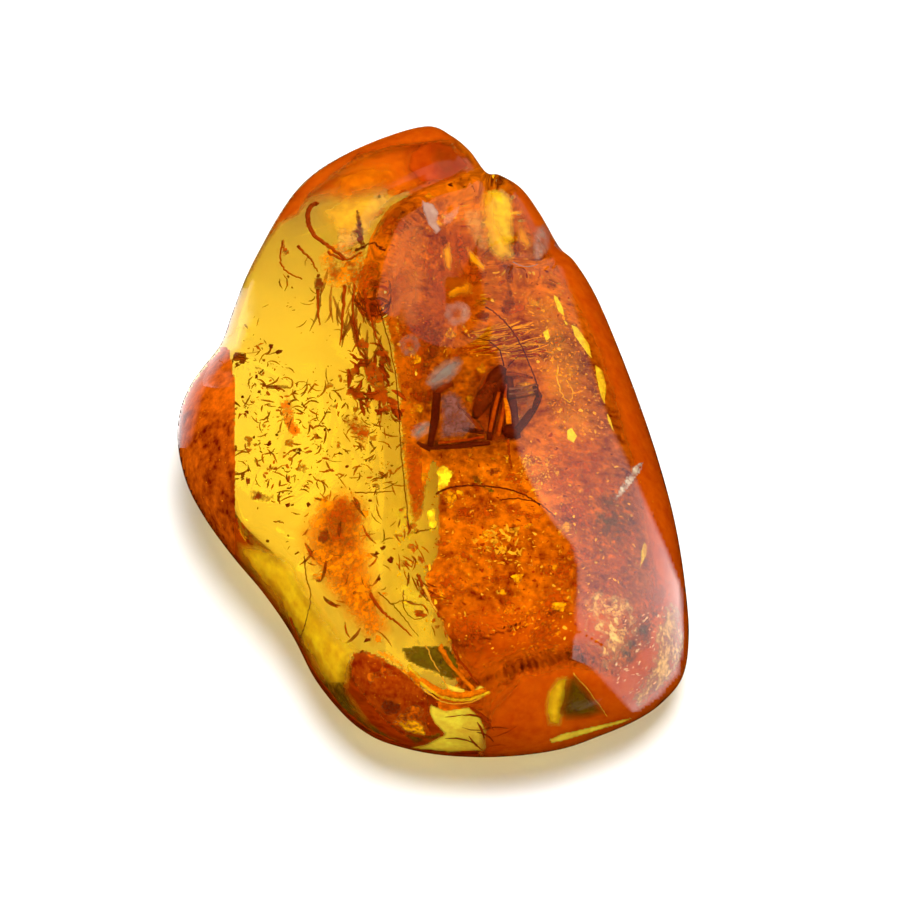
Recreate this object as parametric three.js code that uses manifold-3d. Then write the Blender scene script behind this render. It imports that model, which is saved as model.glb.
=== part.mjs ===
// A polished pebble of clear amber with an insect sealed in it, resting on its flat base.
// Millimetres, +Z up, origin at the middle of the base. The polished face looks up and towards -Y.
import * as THREE from "three";
import { mergeVertices } from "three/addons/utils/BufferGeometryUtils.js";
import Module from "manifold-3d";

const wasm = await Module();
wasm.setup();

const degrees = THREE.MathUtils.degToRad;

// Driving dimensions of the stone
const SIGHT_ELEVATION = degrees(58); // the outline below is the stone's silhouette from this height
const RIM_HEIGHT = 6.6; // of the widest section, at the middle of the stone
const RIM_TILT = degrees(12); // the widest section rises towards the back
const TOP_HEIGHT = 13.6; // of the polished face, at the middle of the stone
const TOP_TILT = degrees(3);
const STONE_CENTRE_Y = -0.02; // puts the origin under the middle of the stone
const SHOULDER = { power: 3.2, root: 2 }; // how squarely the face rolls over into the rim
const UNDERSIDE = { frontPower: 6.5, backPower: 1.8, root: 2 };
const UNDERSIDE_DEPTH = 1.26; // before it is cut flat at the base, times the rim's height
const LEFT_CHAMFER = { from: -15.4, slope: 2.17 }; // the facet under the left lobe

// Driving dimensions of the parting and the pocket
const PARTING_HEIGHT = 10.1; // at the middle of the stone, parallel to the polished face
const PARTING_GAP = 0.3;
const INSECT_PLACE = { x: 2.94, y: -0.47 };
const POCKET = { length: 11.4, width: 9.4, height: 2.8 };

// How finely the stone is faceted
const OUTLINE_STEP = 1.25;
const FACE_RINGS = 17;
const UNDERSIDE_RINGS = 9;

// The silhouette, clockwise from the top: across and up, in a plane square to the line of sight
const OUTLINE = [
  [-0.3, 18.9],
  [1.15, 18.3],
  [2.25, 17.4],
  [3.2, 16.15], // notch between the top lobe and the body
  [4.0, 15.95],
  [5.3, 15.2],
  [6.35, 13.75],
  [7.3, 12.05],
  [7.75, 11.45], // chip in the right edge
  [8.6, 10.6],
  [9.7, 8.8],
  [11.0, 5.95],
  [12.35, 2.35],
  [13.55, -1.25],
  [14.5, -4.85],
  [15.1, -8.45],
  [15.35, -11.7],
  [15.0, -14.1],
  [13.85, -15.65],
  [12.25, -16.75],
  [10.0, -17.7],
  [7.5, -18.55],
  [4.3, -18.95],
  [0.4, -18.9],
  [-2.4, -18.25],
  [-4.0, -17.5],
  [-5.45, -16.3],
  [-7.1, -14.3],
  [-8.45, -11.65],
  [-10.15, -9.2],
  [-12.0, -6.95],
  [-13.6, -4.75],
  [-14.75, -2.6],
  [-15.3, -0.25], // tip of the left lobe
  [-15.2, 1.75],
  [-14.6, 3.3],
  [-13.75, 4.5],
  [-12.7, 5.8],
  [-12.05, 7.6],
  [-11.2, 9.85],
  [-10.25, 12.05],
  [-9.05, 13.85],
  [-7.7, 15.6],
  [-5.7, 17.0],
  [-2.9, 18.25],
];

// Ridges (rise above 0) and grooves and hollows (below 0) of the polished face, each along a path
const RELIEF = [
  // crest from the notch down the middle of the face, fading towards the front
  {
    rise: 0.5,
    width: 0.9,
    path: [
      [3.2, 16.1],
      [0.2, 14.9],
      [-2.3, 13.4],
      [-3.0, 10.8],
      [-3.5, 8.4],
    ],
  },
  {
    rise: 0.1,
    width: 0.9,
    path: [
      [-3.4, 7.9],
      [-2.6, 5.5],
      [-2.0, -0.5],
      [-1.1, -5.3],
    ],
  },
  // trough to the right of the crest, fading towards the front
  {
    rise: -0.9,
    width: 1.8,
    path: [
      [0.6, 13.2],
      [0.9, 8.5],
    ],
  },
  {
    rise: -0.25,
    width: 2.2,
    path: [
      [0.8, 6.7],
      [0.6, 1.0],
    ],
  },
  // groove under the top lobe
  {
    rise: -0.9,
    width: 0.7,
    path: [
      [3.4, 16.6],
      [0.5, 15.6],
      [-2.6, 14.2],
      [-3.9, 12.2],
    ],
  },
  // chip in the right edge
  {
    rise: -0.6,
    width: 0.5,
    path: [
      [8.3, 11.5],
      [6.4, 10.7],
      [4.6, 10.8],
    ],
  },
  // hollow beside the notch
  { rise: -0.8, width: 1.5, path: [[4.4, 13.0]] },
  // ridge over the front edge, with a hollow behind it
  {
    rise: 0.6,
    width: 0.9,
    path: [
      [-0.5, -15.0],
      [2.5, -15.2],
      [5.2, -14.1],
      [8.4, -13.4],
      [11.0, -14.6],
      [12.6, -16.3],
    ],
  },
  {
    rise: -0.5,
    width: 1.3,
    path: [
      [2.0, -13.6],
      [5.5, -12.4],
    ],
  },
  // swelling at the front left
  { rise: 0.5, width: 1.6, path: [[-2.8, -15.2]] },
  // edge of the left lobe's facet
  {
    rise: 0.25,
    width: 0.6,
    path: [
      [-11.7, 5.8],
      [-11.8, 0],
      [-11.7, -6.3],
    ],
  },
];

const sinSight = Math.sin(SIGHT_ELEVATION);
const cosSight = Math.cos(SIGHT_ELEVATION);

// A point across, up and along the line of sight, the last from the plane through the stone's middle.
function place(across, up, along) {
  return new THREE.Vector3(
    across,
    up * sinSight - along * cosSight + STONE_CENTRE_Y,
    RIM_HEIGHT + up * cosSight + along * sinSight,
  );
}

// How far along the line of sight a plane lies that has this height at the middle of the stone.
function reach(up, height, tilt) {
  const rise = Math.tan(tilt);
  const lean = up * (sinSight * rise - cosSight);
  return (height - RIM_HEIGHT + lean) / (sinSight + cosSight * rise);
}

function distanceToPath(across, up, path) {
  const point = new THREE.Vector2(across, up);
  if (path.length === 1) return point.distanceTo(new THREE.Vector2(...path[0]));
  let nearest = Infinity;
  for (let i = 1; i < path.length; i++) {
    const start = new THREE.Vector2(...path[i - 1]);
    const run = new THREE.Vector2(...path[i]).sub(start);
    const share = point.clone().sub(start).dot(run) / run.lengthSq();
    const foot = start.addScaledVector(run, THREE.MathUtils.clamp(share, 0, 1));
    nearest = Math.min(nearest, point.distanceTo(foot));
  }
  return nearest;
}

function relief(across, up) {
  return RELIEF.reduce((sum, { rise, width, path }) => {
    const away = distanceToPath(across, up, path) / width;
    return sum + rise * Math.exp(-away * away);
  }, 0);
}

// share is 0 at the middle of the stone and 1 at its rim.
function facePoint(across, up, share) {
  const rim = reach(up, RIM_HEIGHT, RIM_TILT);
  const full = reach(up, TOP_HEIGHT, TOP_TILT) - rim + relief(across, up);
  const roll = (1 - share ** SHOULDER.power) ** (1 / SHOULDER.root);
  return place(across, up, rim + full * roll);
}

function undersidePoint(across, up, share) {
  const rim = reach(up, RIM_HEIGHT, RIM_TILT);
  const full = (rim - reach(up, 0, 0)) * UNDERSIDE_DEPTH;
  const back = (1 + up / (Math.hypot(across, up) || 1)) / 2;
  const power = THREE.MathUtils.lerp(UNDERSIDE.frontPower, UNDERSIDE.backPower, back);
  const roll = (1 - share ** power) ** (1 / UNDERSIDE.root);
  const chamfer = LEFT_CHAMFER.slope * (across - LEFT_CHAMFER.from);
  return place(across, up, rim - Math.min(full * roll, Math.max(chamfer, 0)));
}

// The outline as a smooth curve, with each of its points kept.
function outlineSteps() {
  const corners = OUTLINE.map(([across, up]) => new THREE.Vector3(across, up, 0));
  const curve = new THREE.CatmullRomCurve3(corners, true, "centripetal");
  return corners.flatMap((corner, i) => {
    const length = corner.distanceTo(corners[(i + 1) % corners.length]);
    const steps = Math.max(1, Math.round(length / OUTLINE_STEP));
    return Array.from({ length: steps }, (_, j) =>
      curve.getPoint((i + j / steps) / corners.length),
    );
  });
}

// Rings of points from the middle of the face over the rim to the middle of the underside.
function stoneGeometry() {
  const rim = outlineSteps();
  const spread = (ring, rings) => Math.sin((ring / rings) * (Math.PI / 2));
  const ringOf = (share, pointAt) =>
    rim.map(({ x, y }) => pointAt(x * share, y * share, share));
  const rings = [];
  for (let i = 1; i <= FACE_RINGS; i++)
    rings.push(ringOf(spread(i, FACE_RINGS), facePoint));
  for (let i = UNDERSIDE_RINGS - 1; i >= 1; i--)
    rings.push(ringOf(spread(i, UNDERSIDE_RINGS), undersidePoint));
  const points = [facePoint(0, 0, 0), ...rings.flat(), undersidePoint(0, 0, 0)];
  const count = rim.length;
  const last = points.length - 1;
  const faces = [];
  for (let i = 0; i < count; i++) {
    const next = (i + 1) % count;
    faces.push(0, 1 + next, 1 + i);
    for (let ring = 0; ring < rings.length - 1; ring++) {
      const inner = 1 + ring * count;
      const outer = inner + count;
      faces.push(inner + i, inner + next, outer + next);
      faces.push(inner + i, outer + next, outer + i);
    }
    const end = 1 + (rings.length - 1) * count;
    faces.push(end + i, end + next, last);
  }
  return new THREE.BufferGeometry().setFromPoints(points).setIndex(faces);
}

function solidOf(geometry) {
  const bare = geometry.clone();
  bare.deleteAttribute("normal");
  bare.deleteAttribute("uv");
  const merged = mergeVertices(bare, 1e-4);
  return new wasm.Manifold(
    new wasm.Mesh({
      numProp: 3,
      vertProperties: new Float32Array(merged.attributes.position.array),
      triVerts: new Uint32Array(merged.index.array),
    }),
  );
}

function geometryOf(solid) {
  const { vertProperties, triVerts } = solid.getMesh();
  const geometry = new THREE.BufferGeometry();
  geometry.setAttribute("position", new THREE.BufferAttribute(vertProperties, 3));
  geometry.setIndex(new THREE.BufferAttribute(triVerts, 1));
  geometry.computeVertexNormals();
  return geometry;
}

// The parting plane's frame, with its middle at the insect.
const partingFrame = new THREE.Matrix4().makeRotationX(TOP_TILT).setPosition(
  INSECT_PLACE.x,
  INSECT_PLACE.y,
  PARTING_HEIGHT + INSECT_PLACE.y * Math.tan(TOP_TILT),
);

// The stone's two halves, parted at the insect, with its pocket cut from both.
function stoneHalves() {
  const wide = 100;
  const ground = new THREE.BoxGeometry(wide, wide, wide).translate(0, 0, -wide / 2);
  const saw = new THREE.BoxGeometry(wide, wide, PARTING_GAP).applyMatrix4(partingFrame);
  const pocket = new THREE.SphereGeometry(0.5, 24, 12)
    .rotateX(Math.PI / 2)
    .scale(POCKET.length, POCKET.width, POCKET.height)
    .applyMatrix4(partingFrame);
  const halves = [ground, saw, pocket]
    .reduce((stone, tool) => stone.subtract(solidOf(tool)), solidOf(stoneGeometry()))
    .decompose();
  return halves.sort((a, b) => a.boundingBox().min[2] - b.boundingBox().min[2]);
}

// The insect lies on its side in its own flat frame: x across, y towards the back, z up.
const BODY_TURN = degrees(23); // of the body's long axis from the y axis
const THORAX = [0.85, 1.9, 0];
const LEG_SIDES = 6;
const KNEE_SWELL = 1.25; // a joint's radius over its limb's
const HEAD = { x: 0.42, y: 0.95, width: 0.85, length: 0.75, depth: 0.75 }; // x and y from the thorax
const THORAX_SIZE = { length: 1.7, width: 1.2, depth: 1.05 };
const ABDOMEN = { length: 2.7, radius: 0.56, rings: 6, waist: 0.9, flatness: 0.8, setback: 0.35 };
const WING = { length: 3.9, width: 1.25, thickness: 0.08, setback: 0.1 };
const WINGS = [
  { turn: degrees(205), height: 0.36 },
  { turn: degrees(222), height: 0.2 },
];
const ANTENNA_RADIUS = 0.07;
const ANTENNAE = [
  [
    [1.2, 2.8, 0.1],
    [1.0, 3.3, 0.2],
    [0.3, 3.6, 0.25],
    [-0.5, 3.5, 0.2],
  ],
  [
    [1.35, 2.8, -0.1],
    [1.7, 3.3, -0.15],
    [2.3, 3.3, -0.2],
    [2.9, 2.9, -0.2],
  ],
];

// A tapered limb segment from one joint to the next, with a round end at each.
function limb(from, to, startRadius, endRadius) {
  const start = new THREE.Vector3(...from);
  const end = new THREE.Vector3(...to);
  const run = end.clone().sub(start);
  const turn = new THREE.Quaternion().setFromUnitVectors(
    new THREE.Vector3(0, 1, 0),
    run.clone().normalize(),
  );
  const shaft = new THREE.CylinderGeometry(endRadius, startRadius, run.length(), LEG_SIDES)
    .applyQuaternion(turn)
    .translate(...start.clone().lerp(end, 0.5));
  const knee = new THREE.SphereGeometry(endRadius * KNEE_SWELL, LEG_SIDES, 4).translate(...end);
  return solidOf(shaft).add(solidOf(knee));
}

// Joints from the body outwards, each with the limb's radius there
const LEGS = [
  // hind legs
  [
    [0.95, 1.35, 0.2, 0.2],
    [0.42, -2.3, 0.35, 0.24],
    [-3.3, -2.8, 0.2, 0.15],
    [-3.75, -2.5, 0.1, 0.09],
  ],
  [
    [0.6, 1.2, -0.2, 0.18],
    [-0.25, -1.65, -0.45, 0.2],
    [-1.7, 0.05, -0.4, 0.11],
    [-2.2, 0.35, -0.35, 0.08],
  ],
  // middle legs
  [
    [1.3, 1.9, 0.25, 0.18],
    [3.1, 1.75, 0.3, 0.19],
    [3.4, 0.2, 0.3, 0.16],
    [1.65, -2.0, 0.25, 0.13],
  ],
  [
    [1.1, 1.7, -0.25, 0.16],
    [2.3, 0.2, -0.5, 0.17],
    [1.7, -1.7, -0.45, 0.2],
    [1.35, -2.2, -0.35, 0.15],
  ],
  // front legs
  [
    [0.6, 2.2, 0.25, 0.16],
    [-1.6, 1.25, 0.35, 0.16],
    [-2.7, 0.75, 0.3, 0.17],
    [-2.75, -1.5, 0.2, 0.15],
    [-3.4, -2.35, 0.15, 0.09],
  ],
  [
    [0.7, 2.3, -0.25, 0.15],
    [-1.3, 2.0, -0.4, 0.14],
    [-3.0, 0.9, -0.35, 0.12],
    [-3.5, 0.1, -0.3, 0.09],
  ],
];

function leg(joints) {
  const segments = joints.slice(1).map((joint, i) => {
    const [startRadius, endRadius] = [joints[i][3], joint[3]];
    return limb(joints[i].slice(0, 3), joint.slice(0, 3), startRadius, endRadius);
  });
  return segments.reduce((whole, segment) => whole.add(segment));
}

// An ellipsoid of the body, turned with its long axis.
function bodyPart([x, y, z], { length, width, depth }) {
  const shape = new THREE.SphereGeometry(0.5, 12, 10)
    .scale(width, length, depth)
    .rotateZ(-BODY_TURN)
    .translate(x, y, z);
  return solidOf(shape);
}

// The abdomen's outline swells between its rings.
function abdomen() {
  const profile = [new THREE.Vector2(0, 0)];
  for (let i = 0; i < ABDOMEN.rings; i++) {
    for (const share of [0.1, 0.5, 0.9]) {
      const along = (i + share) / ABDOMEN.rings;
      const swell = share === 0.5 ? 1 : ABDOMEN.waist;
      const taper = Math.sqrt(1 - (along * 1.25 - 0.3) ** 2);
      profile.push(
        new THREE.Vector2(ABDOMEN.radius * swell * taper, along * ABDOMEN.length),
      );
    }
  }
  profile.push(new THREE.Vector2(0, ABDOMEN.length));
  const shape = new THREE.LatheGeometry(profile, 10)
    .scale(1, 1, ABDOMEN.flatness)
    .rotateZ(Math.PI - BODY_TURN)
    .translate(THORAX[0] - 0.1, THORAX[1] - ABDOMEN.setback, 0);
  return solidOf(shape);
}

// A wing's membrane, as a thin plate that starts inside the thorax.
function wing({ turn, height }) {
  const outline = new THREE.Shape()
    .moveTo(0, 0)
    .quadraticCurveTo(WING.length * 0.5, WING.width * 0.45, WING.length, WING.width * 0.1)
    .quadraticCurveTo(WING.length * 1.02, -WING.width * 0.5, WING.length * 0.75, -WING.width * 0.7)
    .quadraticCurveTo(WING.length * 0.35, -WING.width * 0.85, 0, 0);
  const shape = new THREE.ExtrudeGeometry(outline, {
    depth: WING.thickness,
    bevelEnabled: false,
    curveSegments: 8,
  })
    .rotateZ(turn)
    .translate(THORAX[0], THORAX[1] - WING.setback, height);
  return solidOf(shape);
}

function antenna(points) {
  const path = new THREE.CatmullRomCurve3(points.map((p) => new THREE.Vector3(...p)));
  const section = new THREE.Shape().absarc(0, 0, ANTENNA_RADIUS, 0, Math.PI * 2);
  const shape = new THREE.ExtrudeGeometry(section, {
    steps: 8,
    extrudePath: path,
    curveSegments: 3,
  });
  return solidOf(shape);
}

function insectGeometry() {
  const head = bodyPart([THORAX[0] + HEAD.x, THORAX[1] + HEAD.y, 0], HEAD);
  const thorax = bodyPart(THORAX, THORAX_SIZE);
  const pieces = [thorax, abdomen(), ...WINGS.map(wing), ...ANTENNAE.map(antenna), ...LEGS.map(leg)];
  return geometryOf(pieces.reduce((whole, piece) => whole.add(piece), head));
}

// The named pieces, each with its finish
const amberFinish = new THREE.MeshPhysicalMaterial({
  color: 0xf09010,
  roughness: 0.05,
  metalness: 0,
  transmission: 1,
  ior: 1.54,
});
const insectFinish = new THREE.MeshStandardMaterial({
  color: 0x3a1405,
  roughness: 0.45,
  metalness: 0,
});

function named(name, geometry, material) {
  const mesh = new THREE.Mesh(geometry, material);
  mesh.name = name;
  return mesh;
}

const insect = named("insect", insectGeometry(), insectFinish);
insect.applyMatrix4(partingFrame);

const [lowerHalf, upperHalf] = stoneHalves();
const amber = new THREE.Group();
amber.add(named("amber_lower", geometryOf(lowerHalf), amberFinish));
amber.add(named("amber_upper", geometryOf(upperHalf), amberFinish));
amber.add(insect);

export default amber;
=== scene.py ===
"""An insect in a polished pebble of clear amber, lying on a pale floor."""

import math

import bpy
import numpy as np
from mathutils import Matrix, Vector
from mathutils.bvhtree import BVHTree
from mathutils.interpolate import poly_3d_calc


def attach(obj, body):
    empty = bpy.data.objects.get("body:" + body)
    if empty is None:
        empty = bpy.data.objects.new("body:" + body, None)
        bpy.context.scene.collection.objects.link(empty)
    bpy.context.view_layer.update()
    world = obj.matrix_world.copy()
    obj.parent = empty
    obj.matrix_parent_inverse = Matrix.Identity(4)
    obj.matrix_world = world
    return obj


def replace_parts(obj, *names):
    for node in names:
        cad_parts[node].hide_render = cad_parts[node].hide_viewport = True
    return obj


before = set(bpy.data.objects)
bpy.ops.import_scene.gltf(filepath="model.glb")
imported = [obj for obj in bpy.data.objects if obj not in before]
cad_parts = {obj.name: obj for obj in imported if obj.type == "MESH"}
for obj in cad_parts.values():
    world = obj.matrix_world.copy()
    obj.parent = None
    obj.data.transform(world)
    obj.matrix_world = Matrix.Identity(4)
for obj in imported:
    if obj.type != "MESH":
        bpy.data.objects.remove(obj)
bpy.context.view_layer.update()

MM = 0.001
RAY_STEP = 0.05  # millimetres that a ray is moved on before it is cast again
LEAST_DEPTH = 0.12 * MM  # how close under the face a sealed sheet may come

# The photograph
PHOTO_SIZE = 900
PIXEL = 0.06 * MM
PHOTO_ORIGIN = (433, 441)  # the pixel on the stone's middle line of sight
SIGHT_ELEVATION = math.radians(58)
CAMERA_DISTANCE = 900 * MM
SENSOR_WIDTH = 36

AMBER_IOR = 1.54
AMBER_TINT = (0.998, 0.88, 0.1, 1)
AMBER_DENSITY = 150

# The stone's driving dimensions, as in the solids
RIM_HEIGHT = 6.6 * MM
RIM_TILT = math.radians(12)
TOP_HEIGHT = 13.6 * MM
TOP_TILT = math.radians(3)
STONE_CENTRE_Y = -0.02 * MM
SHOULDER_POWER = 3.2
UNDERSIDE_POWER = {"front": 6.5, "back": 1.8}
UNDERSIDE_DEPTH = 1.26
LEFT_CHAMFER = {"from": -15.4 * MM, "slope": 2.17}

OUTLINE_SAMPLES = 10
FACE_RINGS = 90
UNDERSIDE_RINGS = 60
TINY = 1e-9

# The stone's outline in the photograph, clockwise from the top
OUTLINE = [
    (428, 126), (452, 136), (470, 151), (486, 172), (500, 175), (521, 188), (539, 212), (555, 240),
    (562, 250), (575, 262), (595, 294), (616, 342), (639, 402), (659, 462), (675, 522), (685, 582),
    (689, 636), (683, 676), (663, 702), (637, 720), (600, 736), (558, 750), (500, 757), (440, 755),
    (393, 745), (366, 733), (342, 713), (315, 679), (292, 635), (264, 594), (233, 557), (206, 520),
    (187, 484), (178, 445), (180, 412), (190, 386), (204, 366), (221, 344), (232, 314), (246, 277),
    (262, 245), (282, 210), (305, 181), (338, 158), (385, 137),
]

SIN_SIGHT = math.sin(SIGHT_ELEVATION)
COS_SIGHT = math.cos(SIGHT_ELEVATION)

# How grains and threads vary: more small ones than large ones, some lighter and some darker
SMALL_BIAS = 1.6
GRAIN_SHADES = (0.75, 1.25)
GRAIN_LUMPS = (0.55, 1.15)
FLAKE_LUMPS = (0.45, 1.1)
MOST_TIP = 0.7
DEEPEST_SHARE = 0.9  # how far through the stone a grain may lie
WISP_SHADES = (0.7, 1.3)
WISP_BENDS = 3
WISP_TIP = 0.3
WISP_SWELL = 0.7
CLUMP_CORNERS = 9
CLUMP_LUMPS = (0.4, 1.3)
STRAND_STEP = 4  # pixels between the rings of a strand

# The waves that make a sealed sheet's depth uneven
RIPPLE_WAVES = 6
RIPPLE_PITCH = 0.035
RIPPLE_GROWTH = 1.5
RIPPLE_FALL = 1.4

# The mottling of what is sealed in the stone
TINT_SHARE = 0.86  # how much of its tint a sealed piece shows
NOISE_ROUGHNESS = 0.6
COARSE_DETAIL = 5
FINE_DETAIL = 3
COARSE_SHARE = 0.55
LEAST_GREEN = 0.1
RED_RANGE = (0.36, 0.64)
GREEN_RANGE = (0.36, 0.66)
EATEN_RANGE = (0.38, 0.62)
EATEN_STRENGTH = 3.0
BUMP_HEIGHT = 0.2 * MM

# Ridges (rise above 0) and grooves and hollows (below 0) of the polished face:
# rise and width in millimetres, path in photograph pixels
RELIEF = [
    # crest from the notch down the middle of the face
    dict(rise=0.5, width=0.9, path=[(486, 172), (436, 193), (395, 218), (383, 261), (375, 301)]),
    dict(rise=0.1, width=0.9, path=[(377, 310), (390, 349), (400, 449), (415, 529)]),
    # trough to the right of the crest
    dict(rise=-0.9, width=1.8, path=[(443, 221), (448, 300)]),
    dict(rise=-0.25, width=2.2, path=[(446, 330), (443, 424)]),
    # groove under the top lobe
    dict(rise=-0.9, width=0.7, path=[(490, 164), (441, 181), (390, 204), (368, 238)]),
    # chip in the right edge
    dict(rise=-0.6, width=0.5, path=[(571, 249), (540, 263), (510, 261)]),
    # hollow beside the notch
    dict(rise=-0.8, width=1.5, path=[(506, 224), (506, 225)]),
    # ridge over the front edge, with a hollow behind it
    dict(rise=0.6, width=0.9,
         path=[(425, 691), (475, 694), (520, 676), (573, 664), (616, 684), (643, 713)]),
    dict(rise=-0.5, width=1.3, path=[(466, 668), (525, 648)]),
    # swelling at the front left
    dict(rise=0.5, width=1.6, path=[(386, 694), (387, 694)]),
    # edge of the left lobe's facet
    dict(rise=0.25, width=0.6, path=[(238, 344), (236, 441), (238, 546)]),
]


def flat(pixel):
    """Across and up, in a plane square to the line of sight, of a point of the photograph."""
    x, y = pixel
    return (x - PHOTO_ORIGIN[0]) * PIXEL, (PHOTO_ORIGIN[1] - y) * PIXEL


def place(across, up, along):
    """World points from across, up and along the line of sight."""
    nearness = 1 - along / CAMERA_DISTANCE
    across = across * nearness
    up = up * nearness
    y = up * SIN_SIGHT - along * COS_SIGHT + STONE_CENTRE_Y
    z = RIM_HEIGHT + up * COS_SIGHT + along * SIN_SIGHT
    return np.stack([across, y, z], -1)


def reach(up, height, tilt):
    """How far along the line of sight a plane lies that has this height at the stone's middle."""
    rise = math.tan(tilt)
    return (height - RIM_HEIGHT + up * (SIN_SIGHT * rise - COS_SIGHT)) / (SIN_SIGHT + COS_SIGHT * rise)


def distance_to_path(across, up, path):
    """The distance of points from the nearest stretch of a path."""
    nearest = np.full(np.shape(across), np.inf)
    for (ax, ay), (bx, by) in zip(path, path[1:]):
        run = bx - ax, by - ay
        share = ((across - ax) * run[0] + (up - ay) * run[1]) / (run[0] ** 2 + run[1] ** 2)
        share = np.clip(share, 0, 1)
        away = np.hypot(across - ax - share * run[0], up - ay - share * run[1])
        nearest = np.minimum(nearest, away)
    return nearest


def relief(across, up):
    """How far the ridges and hollows raise the face."""
    total = np.zeros(np.shape(across))
    for form in RELIEF:
        path = [flat(pixel) for pixel in form["path"]]
        away = distance_to_path(across, up, path) / (form["width"] * MM)
        total = total + form["rise"] * MM * np.exp(-(away ** 2))
    return total


def face_point(across, up, share):
    """Points of the polished face; share is 0 at its middle and 1 at the rim."""
    rim = reach(up, RIM_HEIGHT, RIM_TILT)
    full = reach(up, TOP_HEIGHT, TOP_TILT) - rim + relief(across, up)
    return place(across, up, rim + full * np.sqrt(np.clip(1 - share ** SHOULDER_POWER, 0, 1)))


def underside_point(across, up, share):
    """Points of the rounded underside and the flat base; share is 0 at the middle and 1 at the rim."""
    rim = reach(up, RIM_HEIGHT, RIM_TILT)
    to_base = rim - reach(up, 0, 0)
    back = (1 + up / np.maximum(np.hypot(across, up), TINY)) / 2
    power = UNDERSIDE_POWER["front"] * (1 - back) + UNDERSIDE_POWER["back"] * back
    depth = to_base * UNDERSIDE_DEPTH * np.sqrt(np.clip(1 - share ** power, 0, 1))
    chamfer = np.maximum(LEFT_CHAMFER["slope"] * (across - LEFT_CHAMFER["from"]), 0)
    return place(across, up, rim - np.minimum(np.minimum(depth, chamfer), to_base))


def outline_curve():
    """The outline as a smooth closed curve through its points."""
    corners = np.array([flat(pixel) for pixel in OUTLINE])
    count = len(corners)
    steps = []
    for i in range(count):
        before, start, end, after = (corners[(i + k) % count] for k in (-1, 0, 1, 2))
        for t in np.arange(OUTLINE_SAMPLES) / OUTLINE_SAMPLES:
            steps.append(0.5 * (2 * start + (end - before) * t
                                + (2 * before - 5 * start + 4 * end - after) * t ** 2
                                + (3 * start - before - 3 * end + after) * t ** 3))
    return np.array(steps)


def mesh_object(name, points, faces):
    mesh = bpy.data.meshes.new(name)
    mesh.from_pydata([tuple(p) for p in points], [], faces)
    mesh.update()
    body = bpy.data.objects.new(name, mesh)
    bpy.context.scene.collection.objects.link(body)
    return body


def smooth(body):
    body.data.polygons.foreach_set("use_smooth", [True] * len(body.data.polygons))


def stone_mesh():
    """The whole stone as one closed mesh, in rings from the face's middle to the base's."""
    rim = outline_curve()
    count = len(rim)
    rings = []
    for i in range(1, FACE_RINGS + 1):
        share = math.sin(i / FACE_RINGS * math.pi / 2)
        rings.append(face_point(rim[:, 0] * share, rim[:, 1] * share, np.full(count, share)))
    for i in range(UNDERSIDE_RINGS - 1, 0, -1):
        share = math.sin(i / UNDERSIDE_RINGS * math.pi / 2)
        rings.append(underside_point(rim[:, 0] * share, rim[:, 1] * share, np.full(count, share)))
    zero = np.zeros(1)
    points = np.concatenate([face_point(zero, zero, zero), *rings, underside_point(zero, zero, zero)])
    last = len(points) - 1
    faces = []
    for i in range(count):
        after = (i + 1) % count
        faces.append((0, 1 + after, 1 + i))
        for ring in range(len(rings) - 1):
            inner = 1 + ring * count
            outer = inner + count
            faces.append((inner + i, inner + after, outer + after, outer + i))
        end = 1 + (len(rings) - 1) * count
        faces.append((end + i, end + after, last))
    body = mesh_object("amber", points, faces)
    smooth(body)
    return body


def camera_ray(pixel):
    """Where the camera's ray through a pixel starts, and its direction."""
    across, up = flat(pixel)
    aim = Vector(place(np.array(across), np.array(up), np.array(0.0)))
    return camera_spot, (aim - camera_spot).normalized()


def refracted(pixel):
    """Where the ray through a pixel enters the stone, and its direction inside."""
    start, ray = camera_ray(pixel)
    spot, normal, _, _ = stone_tree.ray_cast(start, ray)
    if spot is None:
        return None, None
    cosine = -ray.dot(normal)
    ratio = 1 / AMBER_IOR
    inside = ratio * ray + (ratio * cosine - math.sqrt(1 - ratio ** 2 * (1 - cosine ** 2))) * normal
    return spot, inside.normalized()


def mirrored(pixel):
    """Where the ray through a pixel meets the stone, and its direction after mirroring there."""
    start, ray = camera_ray(pixel)
    spot, _, number, _ = stone_tree.ray_cast(start, ray)
    if spot is None:
        return None, None
    corners = [amber.data.vertices[i] for i in amber.data.polygons[number].vertices]
    shares = poly_3d_calc([corner.co for corner in corners], spot)
    normal = sum((corner.normal * part for corner, part in zip(corners, shares)), Vector()).normalized()
    return spot, (ray - 2 * ray.dot(normal) * normal).normalized()


def seen_at(pixel, depth):
    """The point inside the stone that shows at this pixel, this far along the refracted ray."""
    spot, ray = refracted(pixel)
    return spot + ray * depth


def distance_to_far_side(spot, ray):
    """How far a ray that enters here runs inside the stone, or None."""
    return stone_tree.ray_cast(spot + ray * RAY_STEP * MM, ray)[3]


def inside_polygon(x, y, polygon):
    result = np.zeros(np.shape(x), bool)
    count = len(polygon)
    for i in range(count):
        (ax, ay), (bx, by) = polygon[i], polygon[(i + 1) % count]
        crosses = (ay > y) != (by > y)
        with np.errstate(divide="ignore", invalid="ignore"):
            meets = x < (bx - ax) * (y - ay) / (by - ay) + ax
        result ^= crosses & meets
    return result


def principled(name, **inputs):
    """A material whose shader has these inputs set."""
    material = bpy.data.materials.new(name)
    material.use_nodes = True
    shader = material.node_tree.nodes["Principled BSDF"]
    for key, value in inputs.items():
        shader.inputs[key.replace("_", " ")].default_value = value
    return material


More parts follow.
